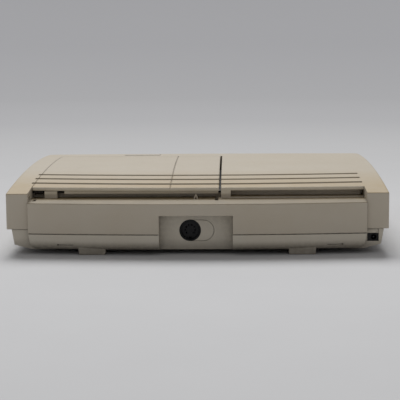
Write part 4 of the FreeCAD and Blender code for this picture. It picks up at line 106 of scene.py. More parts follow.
class Graph:
    """Short calls that build one node tree."""

    def __init__(self, tree: bpy.types.NodeTree) -> None:
        """Takes over a tree and empties it."""
        self.tree = tree
        self.tree.nodes.clear()

    def feed(self, socket: Socket, value: Value) -> None:
        """Links a socket to another one, or sets its plain value.

        Args:
            socket: The socket that takes the value.
            value: A socket or a plain value.
        """
        if isinstance(value, Socket):
            self.tree.links.new(value, socket)
        else:
            socket.default_value = value

    def add(self, kind: str, inputs: Mapping[str | int, Value] | None = None,
            **settings: object) -> bpy.types.Node:
        """Adds a node.

        Args:
            kind: Blender's name of the node type, after its common beginning.
            inputs: What goes into its sockets, by name or number.
            **settings: The node's own properties.

        Returns:
            The new node.
        """
        node = self.tree.nodes.new("ShaderNode" + kind)
        for name, value in settings.items():
            setattr(node, name, value)
        for key, value in (inputs or {}).items():
            self.feed(node.inputs[key], value)
        return node

    def math(self, operation: str, a: Value, b: Value, clamp: bool = False) -> Socket:
        """One sum of two values."""
        return self.add("Math", {0: a, 1: b}, operation=operation, use_clamp=clamp).outputs[0]

    def times(self, *shares: Value) -> Socket:
        """Multiplies shares, and holds each result between 0 and 1."""
        return reduce(lambda one, other: self.math("MULTIPLY", one, other, clamp=True), shares)

    def vector(self, operation: str, a: Value, b: Value = (0.0, 0.0, 0.0)) -> Outputs:
        """One sum of two vectors."""
        return self.add("VectorMath", {0: a, 1: b}, operation=operation).outputs

    def parts(self, vector: Value) -> Outputs:
        """The X, Y and Z of a vector."""
        return self.add("SeparateXYZ", {0: vector}).outputs

    def remap(self, value: Value, low: Value, high: Value, to_low: Value = 0.0,
              to_high: Value = 1.0) -> Socket:
        """Stretches the range low to high over to_low to to_high, and stops at both ends."""
        inputs = {0: value, 1: low, 2: high, 3: to_low, 4: to_high}
        return self.add("MapRange", inputs, clamp=True).outputs[0]

    def mix(self, share: Value, a: Value, b: Value, blend: str = "MIX") -> Socket:
        """Mixes two colours."""
        inputs = {0: share, 6: a, 7: b}
        return self.add("Mix", inputs, data_type="RGBA", blend_type=blend).outputs[2]

    def cover(self, share: Value, under: Value, top: Colour) -> Socket:
        """Lays a plain colour over what is under it."""
        return self.mix(share, under, linear(top))

    def millimetres(self) -> Socket:
        """The place on the surface, in millimetres of the row frame."""
        place = self.add("TexCoord").outputs["Object"]
        return self.add("VectorMath", {0: place, "Scale": MM_PER_M}, operation="SCALE").outputs[0]

    def noise(self, place: Value, scale: Value, detail: float = 2.0, rough: float = 0.5) -> Socket:
        """Soft random values from 0 to 1."""
        inputs = {"Vector": place, "Scale": scale, "Detail": detail, "Roughness": rough}
        return self.add("TexNoise", inputs).outputs[0]

    def patches(self, place: Value, scale: Value, reach: Span, to: Span = (0.0, 1.0),
                detail: float = 2.0, rough: float = 0.5) -> Socket:
        """Noise whose values within reach are stretched over the span to."""
        return self.remap(self.noise(place, scale, detail, rough), *reach, *to)

    def bump(self, depth: Value, height: Value, **under: Value) -> Socket:
        """Tilts the surface's normal, or the Normal that is given, by a height."""
        inputs = {"Strength": 1.0, "Distance": depth, "Height": height, **under}
        return self.add("Bump", inputs).outputs[0]


class Effect(Enum):
    """Shared shader groups: the name that each carries, what it takes and what it gives."""

    GRAIN = ("moulded_grain", ("Grain Size mm", "Depth", "Normal"), ("Normal", "Height"))
    DRIFT = ("colour_drift", ("Color", "Aged Color", "Amount", "Patch Size mm"), ("Color", "Mask"))
    WEAR_AND_HIGHLIGHT = ("edge_wear_and_highlight", ("Width", "Amount", "Patch Size mm"), ("Mask", "Normal"))
    DUST = ("settled_dust", ("Amount", "Even Share", "Patch Size mm"), ("Mask",))
    GRIME_AND_SHADE = ("seam_grime_and_shade", ("Reach", "Start", "Amount"), ("Mask",))
    SCUFF = ("fine_scuffs", ("Amount", "Mark Size mm"), ("Mask",))
    BRUSH = ("drawn_metal", ("Stretch", "Depth", "Normal"), ("Normal", "Value"))
    SUN = ("rear_top_tint", ("Start mm", "End mm", "Amount"), ("Mask",))
    FLOOR = ("painted_shade_low_down", ("Start mm", "End mm", "Amount"), ("Mask",))
    LIP = ("painted_light_on_rear_lip", ("Start mm", "End mm", "Above mm", "Amount"), ("Mask",))

    @cached_property
    def tree(self) -> bpy.types.NodeTree:
        """The effect's group, drawn once, when a material first asks for it."""
        return SharedGraph(self).tree


class SharedGraph(Graph):
    """The graph of one shared group, with a method for each effect that draws its nodes."""

    kinds: ClassVar[Mapping[str, str]] = {
        "Color": "Color", "Aged Color": "Color", "Normal": "Vector", "Stretch": "Vector"}
    scuff_ways: ClassVar[tuple[tuple[float, Triple], ...]] = (
        (0.5, (1.0, 14.0, 4.0)), (-0.9, (12.0, 1.0, 5.0)))
    lip_fade_mm: ClassVar[float] = 1.5

    def __init__(self, effect: Effect) -> None:
        """Makes the group with its sockets, and draws the effect into it.

        Args:
            effect: Which effect.
        """
        name, takes, gives = effect.value
        tree = bpy.data.node_groups.new(name, "ShaderNodeTree")
        for way, sockets in (("INPUT", takes), ("OUTPUT", gives)):
            for socket in sockets:
                kind = "NodeSocket" + self.kinds.get(socket, "Float")
                tree.interface.new_socket(socket, in_out=way, socket_type=kind)
        super().__init__(tree)
        self.given = tree.nodes.new("NodeGroupInput").outputs
        self.out = tree.nodes.new("NodeGroupOutput").inputs
        getattr(self, effect.name.lower())()

    def __getitem__(self, name: str) -> Socket:
        """One of the group's inputs."""
        return self.given[name]

    def give(self, **values: Value) -> None:
        """Feeds the group's outputs, by name."""
        for name, value in values.items():
            self.feed(self.out[name], value)

    def give_mask(self, *shares: Value) -> None:
        """Feeds the mask with the product of some shares and the amount that is asked for."""
        self.give(Mask=self.times(*shares, self["Amount"]))

    def scale(self, size: str) -> Socket:
        """The noise scale that gives patches of the size in a named input."""
        return self.math("DIVIDE", 1.0, self[size])

    def up(self, low: float, high: float) -> Socket:
        """How far the surface faces up, with low to high stretched over 0 to 1."""
        return self.remap(self.parts(self.add("NewGeometry").outputs["Normal"])["Z"], low, high)

    def grain(self) -> None:
        """Spark-eroded mould texture: a fine height over a broad one, and its normal."""
        place, scale = self.millimetres(), self.scale("Grain Size mm")
        fine = self.noise(place, scale, detail=3.0, rough=0.6)
        broad = self.noise(place, self.math("MULTIPLY", scale, 0.13), detail=1.0)
        height = self.math("ADD", fine, self.math("MULTIPLY", broad, 0.6))
        self.give(Normal=self.bump(self["Depth"], height, Normal=self["Normal"]), Height=height)

    def drift(self) -> None:
        """Slow change of colour over a moulding, as age and handling leave it."""
        place, scale = self.millimetres(), self.scale("Patch Size mm")
        broad = self.patches(place, scale, (0.36, 0.66), detail=4.0, rough=0.55)
        small = self.patches(place, self.math("MULTIPLY", scale, 9.0), (0.3, 0.75), (0.65, 1.0), detail=3.0)
        share = self.times(broad, small, self["Amount"])
        self.give(Color=self.mix(share, self["Color"], self["Aged Color"]), Mask=share)

    def wear_and_highlight(self) -> None:
        """Rubbed edges, and painted highlights along them: where the rounded normal leaves the flat one,
        broken up by noise.
        """
        rounded = self.add("Bevel", {"Radius": self["Width"]}, samples=4).outputs[0]
        plain = self.add("NewGeometry").outputs["Normal"]
        bend = self.math("SUBTRACT", 1.0, self.vector("DOT_PRODUCT", rounded, plain)["Value"])
        breakup = self.patches(self.millimetres(), self.scale("Patch Size mm"), (0.42, 0.62),
                               detail=5.0, rough=0.7)
        self.give_mask(self.remap(bend, 0.02, 0.25), breakup)
        self.give(Normal=rounded)

    def dust(self) -> None:
        """Dust on what faces up: an even film, then uneven patches and specks."""
        place = self.millimetres()
        patches = self.patches(place, self.scale("Patch Size mm"), (0.3, 0.8), detail=6.0, rough=0.65)
        specks = self.patches(place, 1.9, (0.6, 0.78), (0.55, 1.0))
        film = self.remap(self.times(patches, specks), 0.0, 1.0, self["Even Share"])
        self.give_mask(film, self.up(0.35, 1.0))

    def grime_and_shade(self) -> None:
        """Dirt and painted shade in seams, grooves, inner corners and hollows, where ambient occlusion closes
        in.
        """
        corner = self.add("AmbientOcclusion", {"Distance": self["Reach"]}, samples=6)
        closed = self.remap(corner.outputs["AO"], self["Start"], 0.2)
        self.give_mask(closed, self.patches(self.millimetres(), 0.35, (0.3, 0.6), (0.5, 1.0), detail=4.0))

    def scuff(self) -> None:
        """Short fine rub marks in two directions, in some places only."""
        place, scale = self.millimetres(), self.scale("Mark Size mm")
        marks = []
        for turn, stretch in self.scuff_ways:
            inputs = {"Vector": place, "Rotation": (0.0, 0.0, turn), "Scale": stretch}
            mapped = self.add("Mapping", inputs).outputs[0]
            marks.append(self.patches(mapped, scale, (0.68, 0.75), rough=0.4))
        self.give_mask(self.math("MAXIMUM", *marks), self.patches(place, 0.025, (0.48, 0.65), detail=3.0))

    def brush(self) -> None:
        """Fine parallel lines of drawn, turned or rolled metal."""
        place = self.vector("MULTIPLY", self.millimetres(), self["Stretch"])[0]
        lines = self.noise(place, 1.0, detail=4.0, rough=0.7)
        self.give(Normal=self.bump(self["Depth"], lines, Normal=self["Normal"]), Value=lines)

    def sun(self) -> None:
        """A warmer, darker tone on what faces up, which grows from one depth to another towards the rear."""
        place = self.millimetres()
        rise = self.remap(self.parts(place)["Y"], self["Start mm"], self["End mm"])
        uneven = self.patches(place, 0.05, (0.3, 0.7), (0.75, 1.0), detail=3.0)
        self.give_mask(rise, self.up(0.1, 0.8), uneven)

    def floor(self) -> None:
        """Painted shade low on the sides and on the feet, which grows towards the floor."""
        place = self.millimetres()
        rise = self.remap(self.parts(place)["Z"], self["Start mm"], self["End mm"])
        self.give_mask(rise, self.patches(place, 0.12, (0.3, 0.7), (0.8, 1.0), detail=4.0))

    def lip(self) -> None:
        """Painted light on the rear face of the lip: a paler colour in place of the light that its face would
        catch.
        """
        place, fade = self.millimetres(), self.lip_fade_mm
        parts = self.parts(place)
        start, end, above = (self[name] for name in ("Start mm", "End mm", "Above mm"))
        begins = self.remap(parts["Y"], self.math("SUBTRACT", start, fade), start)
        ends = self.remap(parts["Y"], end, self.math("ADD", end, fade), 1.0, 0.0)
        over = self.remap(parts["Z"], self.math("SUBTRACT", above, fade), above)
        back = self.remap(self.parts(self.add("TexCoord").outputs["Normal"])["Y"], 0.35, 0.8)
        uneven = self.patches(place, 0.08, (0.3, 0.7), (0.8, 1.0), detail=3.0)
        self.give_mask(begins, ends, over, back, uneven)


class Surface(Graph):
    """The graph of one new material, with its Principled shader."""

    def __init__(self, name: str) -> None:
        """Makes the material with its shader and its output.

        Args:
            name: The material's name.
        """
        self.material = bpy.data.materials.new(name)
        self.material.use_nodes = True
        super().__init__(self.material.node_tree)
        self.shader = self.add("BsdfPrincipled")
        self.add("OutputMaterial", {"Surface": self.shader.outputs[0]})

    def place(self, effect: Effect, *values: Value) -> Outputs:
        """Puts a shared effect into the material, with its own values in the order of its inputs."""
        inputs = dict(zip(effect.value[1], values))
        return self.add("Group", inputs, node_tree=effect.tree).outputs

    def coat(self, under: Value, top: Colour, effect: Effect, *values: Value) -> Socket:
        """Lays a colour over what is under it, where an effect's mask says so."""
        return self.cover(self.place(effect, *values)["Mask"], under, top)

    def shade(self, values: Mapping[str, Value]) -> None:
        """Sets or links the shader's own sockets, by name."""
        for name, value in values.items():
            self.feed(self.shader.inputs[name], value)


GRAIN_HEIGHTS: Span = (0.4, 1.2)


@dataclass(frozen=True)
class MouldedPlastic:
    """A moulded plastic with mould grain, ageing, rubbed edges with painted highlights, dust, and grime with
    painted shade in its seams.

    The rear lip, the ledge under it and the span near the floor are places on the console. The paler lip is
    painted light, and the darker ledge and the darker span near the floor are painted shade. Spans and other
    groups of values stand in the order of the effect's own inputs, here and in all finishes.
    """

    name: str
    colour: Colour
    aged: Colour
    roughness: float = 0.55
    spread: Span = (-0.05, 0.06)
    specular: float = 0.35
    coat: float = 0.0
    grain_mm: float = 0.45
    grain_depth: float = 0.000012
    drift: float = 0.5
    patch_mm: float = 46.0
    # The edge layer is rubbed edges with a painted highlight: the edge gain makes the edges paler.
    edge_width: float = 0.0004
    edge_lift: float = 0.35
    edge_patch_mm: float = 3.0
    edge_gain: float = 1.12
    edge_polish: float = 0.18
    dust: float = 0.12
    dust_even: float = 0.3
    dust_patch_mm: float = 28.0
    dust_dulls: float = 0.25
    dust_colour: Colour = (186, 182, 172)
    scuffs: float = 0.10
    scuff_mm: float = 1.6
    # The seam layer is dirt with painted shade; the hollow layer is painted shade in hollows and under
    # overhangs. Both follow ambient occlusion.
    grime_and_shade: float = 0.55
    grime_and_shade_span: Span = (0.0014, 0.8)
    dirt_and_shade_colour: Colour = (58, 48, 36)
    hollow_shade: float = 0.5
    hollow_shade_span: Span = (0.006, 0.85)
    # A warmer, darker tone on up-facing surfaces, growing towards the rear.
    sun: float = 0.0
    rear_tint_colour: Colour = (178, 153, 106)
    rear_tint_span: Span = (24.0, 84.0)
    # Painted light on the lip's rear face, which is paler in place of the light that it would catch.
    lip_painted_light: float = 0.0
    lip_light_colour: Colour = (228, 218, 198)
    lip_span: Triple = (86.0, 92.0, 41.5)
    # Painted shade on the ledge under the lid's rear lip, where the lip keeps light off it.
    ledge_shade: float = 0.0
    ledge_shade_colour: Colour = (124, 113, 93)
    ledge_span: Span = (91.5, 94.0)
    ledge_below: Span = (40.0, 38.5)
    # Painted shade that darkens the lower sides and the feet towards the floor.
    floor_shade: float = 0.0
    floor_span: Span = (11.0, 3.5)

    def draw(self, skin: Surface) -> None:
        """Draws the material.

        Args:
            skin: Its graph.
        """
        edge = skin.place(Effect.WEAR_AND_HIGHLIGHT, self.edge_width, self.edge_lift, self.edge_patch_mm)
        colour = skin.place(Effect.DRIFT, linear(self.colour), linear(self.aged), self.drift,
                            self.patch_mm)["Color"]
        colour = skin.coat(colour, self.rear_tint_colour, Effect.SUN, *self.rear_tint_span, self.sun)
        # Painted light on the lip's rear face.
        colour = skin.coat(colour, self.lip_light_colour, Effect.LIP, *self.lip_span, self.lip_painted_light)
        # Paler edges: wear, and a painted highlight along rounded edges.
        pale = skin.mix(1.0, colour, (self.edge_gain, self.edge_gain, self.edge_gain, 1.0), "MULTIPLY")
        colour = skin.mix(edge["Mask"], colour, pale)
        colour = skin.coat(colour, self.dirt_and_shade_colour, Effect.SCUFF, self.scuffs, self.scuff_mm)
        dust = skin.place(Effect.DUST, self.dust, self.dust_even, self.dust_patch_mm)["Mask"]
        colour = skin.cover(dust, colour, self.dust_colour)
        # Painted shade on the ledge under the lip: up-facing, behind the lip and below its height.
        film = skin.times(skin.place(Effect.SUN, *self.ledge_span, 1.0)["Mask"],
                          skin.place(Effect.FLOOR, *self.ledge_below, self.ledge_shade)["Mask"])
        colour = skin.cover(film, colour, self.ledge_shade_colour)
        # Painted shade: the floor layer darkens towards the floor and the hollow layer deep hollows; the seam
        # layer is dirt with painted shade.
        for dirt in ((Effect.FLOOR, *self.floor_span, self.floor_shade),
                     (Effect.GRIME_AND_SHADE, *self.hollow_shade_span, self.hollow_shade),
                     (Effect.GRIME_AND_SHADE, *self.grime_and_shade_span, self.grime_and_shade)):
            colour = skin.coat(colour, self.dirt_and_shade_colour, *dirt)
        grain = skin.place(Effect.GRAIN, self.grain_mm, self.grain_depth, edge["Normal"])
        rough = skin.remap(grain["Height"], *GRAIN_HEIGHTS, *(self.roughness + by for by in self.spread))
        rough = skin.math("ADD", rough, skin.times(dust, self.dust_dulls))
        polish = skin.times(edge["Mask"], self.edge_polish)
        skin.shade({
            "Base Color": colour, "Roughness": skin.math("SUBTRACT", rough, polish, clamp=True),
            "Specular IOR Level": self.specular, "Coat Weight": self.coat, "Normal": grain["Normal"]})


@dataclass(frozen=True)
class DrawnMetal:
    """A bare metal with fine lines along one direction, tarnish and soft edges."""

    name: str
    colour: Colour
    tarnish: Colour
    roughness: float = 0.32
    spread: Span = (-0.08, 0.10)
    stretch: Triple = (0.15, 6.0, 6.0)
    depth: float = 0.000004
    tarnish_share: float = 0.45
    tarnish_dulls: float = 0.25
    patch_mm: float = 7.0
    edges: Triple = (0.00015, 0.6, 2.0)
    seams: Triple = (0.0008, 0.75, 0.4)
    seam_colour: Colour = (40, 34, 28)

    def draw(self, skin: Surface) -> None:
        """Draws the material.

        Args:
            skin: Its graph.
        """
        edge = skin.place(Effect.WEAR_AND_HIGHLIGHT, *self.edges)
        brush = skin.place(Effect.BRUSH, self.stretch, self.depth, edge["Normal"])
        body = skin.place(Effect.DRIFT, linear(self.colour), linear(self.tarnish), self.tarnish_share,
                          self.patch_mm)
        rough = skin.remap(brush["Value"], 0.25, 0.75, *(self.roughness + by for by in self.spread))
        dull = skin.times(body["Mask"], self.tarnish_dulls)
        skin.shade({
            "Base Color": skin.coat(body["Color"], self.seam_colour, Effect.GRIME_AND_SHADE, *self.seams),
            "Metallic": 1.0, "Roughness": skin.math("ADD", rough, dull, clamp=True),
            "Normal": brush["Normal"]})


@dataclass(frozen=True)
class SoftRubber:
    """A dull rubber with bloom and a fine grain."""

    name: str
    colour: Colour = (38, 37, 36)
    bloom: Colour = (70, 68, 65)
    blooming: Span = (0.6, 6.0)
    dust_colour: Colour = (150, 146, 138)
    dust: Triple = (0.25, 0.2, 5.0)
    edges: Triple = (0.0004, 0.5, 2.0)
    grain: Span = (0.25, 0.00003)
    roughness: Span = (0.75, 0.95)

    def draw(self, skin: Surface) -> None:
        """Draws the material.

        Args:
            skin: Its graph.
        """
        edge = skin.place(Effect.WEAR_AND_HIGHLIGHT, *self.edges)
        colour = skin.place(Effect.DRIFT, linear(self.colour), linear(self.bloom), *self.blooming)["Color"]
        colour = skin.coat(colour, self.dust_colour, Effect.DUST, *self.dust)
        grain = skin.place(Effect.GRAIN, *self.grain, edge["Normal"])
        skin.shade({
            "Base Color": skin.cover(edge["Mask"], colour, self.bloom), "Normal": grain["Normal"],
            "Roughness": skin.remap(grain["Height"], *GRAIN_HEIGHTS, *self.roughness),
            "Specular IOR Level": 0.3})


@dataclass(frozen=True)
class CoatedLens:
    """Small moulded lens with a bluish coating."""

    name: str
    colour: Colour = (150, 165, 205)
    rim_colour: Colour = (120, 70, 150)
    rim_blend: float = 0.35
    film_colour: Colour = (210, 210, 210)
    film: Triple = (0.12, 0.3, 1.5)
    roughness: Span = (0.03, 0.3)

    def draw(self, skin: Surface) -> None:
        """Draws the material.

        Args:
            skin: Its graph.
        """
        rim = skin.add("LayerWeight", {"Blend": self.rim_blend}).outputs["Facing"]
        film = skin.place(Effect.DUST, *self.film)["Mask"]
        tint = skin.cover(rim, linear(self.colour), self.rim_colour)
        skin.shade({
            "Base Color": skin.cover(film, tint, self.film_colour), "Transmission Weight": 0.85,
            "Roughness": skin.remap(film, 0.0, 0.2, *self.roughness), "IOR": 1.52})


@dataclass(frozen=True)
class LampLens:
    """Translucent moulded lamp window, unlit."""

    name: str
    colour: Colour = (112, 150, 66)
    aged: Colour = (150, 170, 90)
    ageing: Span = (0.6, 1.2)
    grain: Span = (0.3, 0.00001)
    roughness: Span = (0.15, 0.3)

    def draw(self, skin: Surface) -> None:
        """Draws the material.

        Args:
            skin: Its graph.
        """
        body = skin.place(Effect.DRIFT, linear(self.colour), linear(self.aged), *self.ageing)
        grain = skin.place(Effect.GRAIN, *self.grain)
        skin.shade({
            "Base Color": body["Color"], "Normal": grain["Normal"],
            "Roughness": skin.remap(grain["Height"], *GRAIN_HEIGHTS, *self.roughness),
            "Subsurface Weight": 0.4, "Subsurface Scale": 0.001})


@dataclass(frozen=True)
class CircuitBoard:
    """Green board with copper runs under the mask, tinned pads and their holes."""

    name: str
    mask_green: Colour = (24, 84, 52)
    run_green: Colour = (38, 112, 68)
    tin: Colour = (178, 178, 174)
    hole: Colour = (20, 20, 18)
    run_grid: Triple = (0.8, 0.8, 50.0)
    run_scale: float = 0.8
    run_stretch: float = 0.03
    run_reach: Span = (0.55, 0.57)
    field_grid: Triple = (26.0, 26.0, 50.0)
    pad_scale: float = 0.32
    pad_reach: Span = (0.24, 0.20)
    hole_reach: Span = (0.11, 0.08)
    relief: float = 0.00004
    roughness: Span = (0.32, 0.42)

    def draw(self, skin: Surface) -> None:
        """Draws the material: each field of the board has its runs along X or along Y.

        Args:
            skin: Its graph.
        """
        place = skin.millimetres()
        snapped = skin.vector("SNAP", place, self.run_grid)[0]
        along = [skin.noise(skin.vector("MULTIPLY", snapped, stretch)[0], self.run_scale, detail=0.0)
                 for stretch in ((self.run_stretch, 1.0, 1.0), (1.0, self.run_stretch, 1.0))]
        field = skin.patches(skin.vector("SNAP", place, self.field_grid)[0], 0.05, (0.49, 0.5))
        runs = skin.remap(skin.mix(field, *along), *self.run_reach)
        inputs = {"Vector": place, "Scale": self.pad_scale, "Randomness": 0.45}
        cells = skin.add("TexVoronoi", inputs).outputs["Distance"]
        pads, holes = skin.remap(cells, *self.pad_reach), skin.remap(cells, *self.hole_reach)
        colour = skin.cover(pads, skin.cover(runs, linear(self.mask_green), self.run_green), self.tin)
        height = skin.math("ADD", runs, skin.math("MULTIPLY", pads, 2.0))
        skin.shade({
            "Base Color": skin.cover(holes, colour, self.hole),
            "Metallic": skin.times(pads, 0.8), "Normal": skin.bump(self.relief, height),
            "Roughness": skin.remap(pads, 0.0, 1.0, *self.roughness)})


class Finish(Enum):
    """Every finish of the console."""

    # Both cream finishes carry a dark dust colour, which is dust and painted shade: it darkens every
    # up-facing surface.
    CREAM_SHELL = MouldedPlastic(
        "cream_shell", (195, 185, 168), (189, 176, 154), roughness=0.46, specular=0.45,
        edge_width=0.0009, edge_lift=0.6, sun=0.95, dust=0.5, dust_even=0.7, dust_colour=(146, 134, 111),
        hollow_shade=0.15, ledge_shade=1.0, lip_painted_light=1.0)
    CREAM_LID = MouldedPlastic(
        "cream_lid", (194, 185, 168), (188, 177, 157), roughness=0.46, specular=0.45, drift=0.45,
        edge_width=0.0014, edge_lift=0.8, sun=0.95, dust=0.5, dust_even=0.7, dust_colour=(146, 131, 107),
        grime_and_shade=0.45, hollow_shade=0.1, lip_painted_light=1.0)
    # Paler than the upper shell's cream: painted light that offsets the shade on the lower shell's sloping
    # faces.
    CREAM_LOWER = MouldedPlastic(
        "cream_lower_shell", (205, 197, 181), (199, 188, 169), roughness=0.46, specular=0.45,
        floor_shade=0.42, hollow_shade_span=(0.014, 0.97))
    CREAM_BUTTON = MouldedPlastic(
        "cream_button", (196, 186, 170), (188, 175, 154), roughness=0.38, grain_depth=0.000004,
        dust=0.4, dust_even=0.5, dust_colour=(145, 137, 122))
    GREY_TRAY = MouldedPlastic(
        "grey_tray", (92, 92, 94), (84, 82, 80), roughness=0.5, dust=0.2, dirt_and_shade_colour=(30, 28, 26))
    GREY_LINER = MouldedPlastic(
        "grey_liner", (98, 98, 100), (88, 86, 84), roughness=0.48, dust=0.05, dirt_and_shade_colour=(30, 28, 26))
    GREY_SLEEVE = MouldedPlastic("grey_card_sleeve", (74, 74, 76), (66, 64, 62), dirt_and_shade_colour=(26, 24, 22))
    ACETAL = MouldedPlastic(
        "white_acetal", (226, 224, 214), (216, 208, 188), roughness=0.36, grain_depth=0.000003,
        grime_and_shade=0.3, scuffs=0.05)
    BLACK = MouldedPlastic(
        "black_plastic", (30, 30, 33), (40, 39, 38), roughness=0.42, dust=0.1, grime_and_shade=0.2, edge_lift=0.6,
        dirt_and_shade_colour=(16, 15, 14))
    SOCKET_BLACK = MouldedPlastic(
        "socket_black", (14, 14, 16), (20, 20, 21), roughness=0.4, specular=0.25, grain_depth=0.000005,
        dust=0.02, grime_and_shade=0.1, edge_lift=0.4, dirt_and_shade_colour=(8, 8, 8))
    BLACK_SATIN = MouldedPlastic(
        "black_satin", (26, 26, 28), (34, 33, 32), roughness=0.34, grain_depth=0.000005, dust=0.08,
        grime_and_shade=0.15, edge_lift=0.7, dirt_and_shade_colour=(14, 13, 12))
    CHIP = MouldedPlastic(
        "chip_epoxy", (40, 40, 42), (52, 50, 48), roughness=0.6, grain_mm=0.2, dust=0.15, grime_and_shade=0.1,
        dirt_and_shade_colour=(18, 17, 16))
    CERAMIC = MouldedPlastic(
        "fired_ceramic", (142, 112, 84), (120, 92, 68), roughness=0.5, grain_mm=0.15, patch_mm=9.0,
        drift=1.0, dust=0.15, grime_and_shade=0.1, dirt_and_shade_colour=(52, 40, 30))
    SLEEVE_BLUE = MouldedPlastic(
        "capacitor_sleeve", (26, 34, 74), (30, 36, 66), roughness=0.28, grain_depth=0.000002, dust=0.1,
        grime_and_shade=0.1, coat=0.4, dirt_and_shade_colour=(14, 14, 20))
    STEEL = DrawnMetal("bare_steel", (196, 196, 198), (150, 144, 136))
    TINNED = DrawnMetal(
        "tinned_lead", (202, 202, 196), (168, 166, 158), roughness=0.36, stretch=(3.0, 3.0, 3.0))
    DARK_STEEL = DrawnMetal("blackened_steel", (54, 52, 50), (34, 30, 26), roughness=0.45, tarnish_share=0.8)
    CONTACT = DrawnMetal("dull_contact", (62, 62, 66), (40, 38, 36), roughness=0.42, stretch=(5.0, 0.3, 5.0))
    SPRING = DrawnMetal(
        "spring_wire", (84, 80, 76), (46, 38, 30), roughness=0.42, stretch=(4.0, 4.0, 4.0),
        tarnish_share=0.9)
    SHAFT = DrawnMetal(
        "polished_rod", (214, 214, 216), (176, 172, 166), roughness=0.16, stretch=(6.0, 0.2, 6.0))
    ZINC = DrawnMetal(
        "zinc_sheet", (190, 192, 190), (168, 170, 164), roughness=0.36, stretch=(0.12, 3.0, 3.0),
        tarnish_share=0.6)
    ALUMINIUM = DrawnMetal("extruded_aluminium", (206, 207, 208), (180, 180, 180), stretch=(5.0, 5.0, 0.15))
    RUBBER = SoftRubber("black_rubber")
    LENS = CoatedLens("coated_lens")
    LAMP = LampLens("lamp_window")
    BOARD = CircuitBoard("green_board")

    @cached_property
    def material(self) -> Material:
        """The finish's material, made once, when a piece first asks for it.

        Returns:
            The new material.
        """
        skin = Surface(self.value.name)
        self.value.draw(skin)
        return skin.material


def dress(piece: Piece, *finishes: Finish) -> None:
    """Gives a piece one finish for each number that its faces carry.

    Args:
        piece: A CAD node or a new piece.
        *finishes: The finishes, in the order of the faces' numbers.
    """
    piece.data.materials.clear()
    for finish in finishes:
        piece.data.materials.append(finish.material)
    LOG.info("%s: %s", piece.name, ", ".join(finish.value.name for finish in finishes))


def turned(centre: Vector, axis: Vector, side: Vector, profile: Sequence[Span],
           count: int) -> list[list[Vector]]:
    """Turns a profile round an axis.

    Args:
        centre: Where the axis starts.
        axis: Its direction, one unit long.
        side: Where each turn starts, one unit long and square to the axis.
        profile: Steps along the axis and their radii.
        count: How many corners each ring has.

    Returns:
        One ring of corners for each step.
    """
    turns, other = [math.tau * step / count for step in range(count)], axis.cross(side)
    return [[centre + axis * along + radius * (side * math.cos(turn) + other * math.sin(turn))
             for turn in turns] for along, radius in profile]


class Forming:
    """Collects the corners and faces of one new piece."""

    def __init__(self) -> None:
        """Starts empty."""
        self.corners: list[Vector] = []
        self.faces: list[tuple[int, ...]] = []
        self.kinds: list[int] = []

    def loft(self, rings: Sequence[Sequence[Vector]], kind: int = 0, closed: bool = True) -> None:
        """Joins rings of equal count into one skin.

        Args:
            rings: Rings of corners, from one end of the form to the other.
            kind: The number of the finish that its faces carry.
            closed: Whether the first ring is closed, as the last one always is.
        """
        first, count = len(self.corners), len(rings[0])
        for ring in rings:
            self.corners.extend(ring)
        last = first + (len(rings) - 1) * count
        made = [tuple(reversed(range(first, first + count)))] if closed else []
        for base in range(first, last, count):
            for index in range(count):
                following = (index + 1) % count
                made.append((base + index, base + following, base + count + following, base + count + index))
        made.append(tuple(range(last, last + count)))
        self.faces.extend(made)
        self.kinds.extend([kind] * len(made))

    def block(self, low: Vector, high: Vector, edge: float, kind: int = 0) -> None:
        """Adds a block with all its edges broken.

        Args:
            low: Its lowest corner.
            high: Its highest corner.
            edge: How far each edge is broken.
            kind: The number of the finish that its faces carry.
        """
        rings = []
        for height, inset in ((low.z, edge), (low.z + edge, 0.0), (high.z - edge, 0.0), (high.z, edge)):
            x0, y0, x1, y1 = low.x + inset, low.y + inset, high.x - inset, high.y - inset
            outline = ((x0 + edge, y0), (x1 - edge, y0), (x1, y0 + edge), (x1, y1 - edge),
                       (x1 - edge, y1), (x0 + edge, y1), (x0, y1 - edge), (x0, y0 + edge))
            rings.append([Vector((x, y, height)) for x, y in outline])
        self.loft(rings, kind)

    def mesh(self, name: str, smooth: bool) -> Piece:
        """Makes a mesh of what was collected, and puts it into the scene.

        Args:
            name: The new object's name.
            smooth: Whether its faces are shaded as one curved skin.

        Returns:
            The new object.
        """
        mesh = bpy.data.meshes.new(name)
        mesh.from_pydata(self.corners, [], self.faces)
        for polygon, kind in zip(mesh.polygons, self.kinds):
            polygon.material_index = kind
            polygon.use_smooth = smooth
        mesh.update()
        return put(name, mesh)

    def piece(self, name: str, body: str, *finishes: Finish, smooth: bool = False) -> None:
        """Makes the piece, dresses it and lets it ride on a body.

        Args:
            name: The piece's name.
            body: The body that it moves with.
            *finishes: The finishes, in the order of the faces' numbers.
            smooth: Whether its faces are shaded as one curved skin.
        """
        made = self.mesh(name, smooth)
        dress(made, *finishes)
        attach(made, body)


@dataclass
class SubAssembly:
    """Nodes of the frame that are dressed together, and the pieces built onto them."""

    finishes: ClassVar[Mapping[Finish, str]] = {}
    nodes: Mapping[str, Piece]

    def dress(self) -> None:
        """Gives every node of the sub-assembly its finish."""
        for finish, names in self.finishes.items():
            for name in names.split():
                dress(self.nodes[name], finish)

    def build(self) -> None:
        """Builds the pieces that the frame leaves to the scene. Most sub-assemblies have none."""


class CaseShell(SubAssembly):
    """Top case, lower shell, feet and the screws that join them."""

    finishes = {
        Finish.CREAM_SHELL: "top_case lid_hinge_clip",
        Finish.CREAM_LOWER: "bottom_case",
        Finish.RUBBER: "front_foot_pads",
        Finish.STEEL: "case_screws",
    }


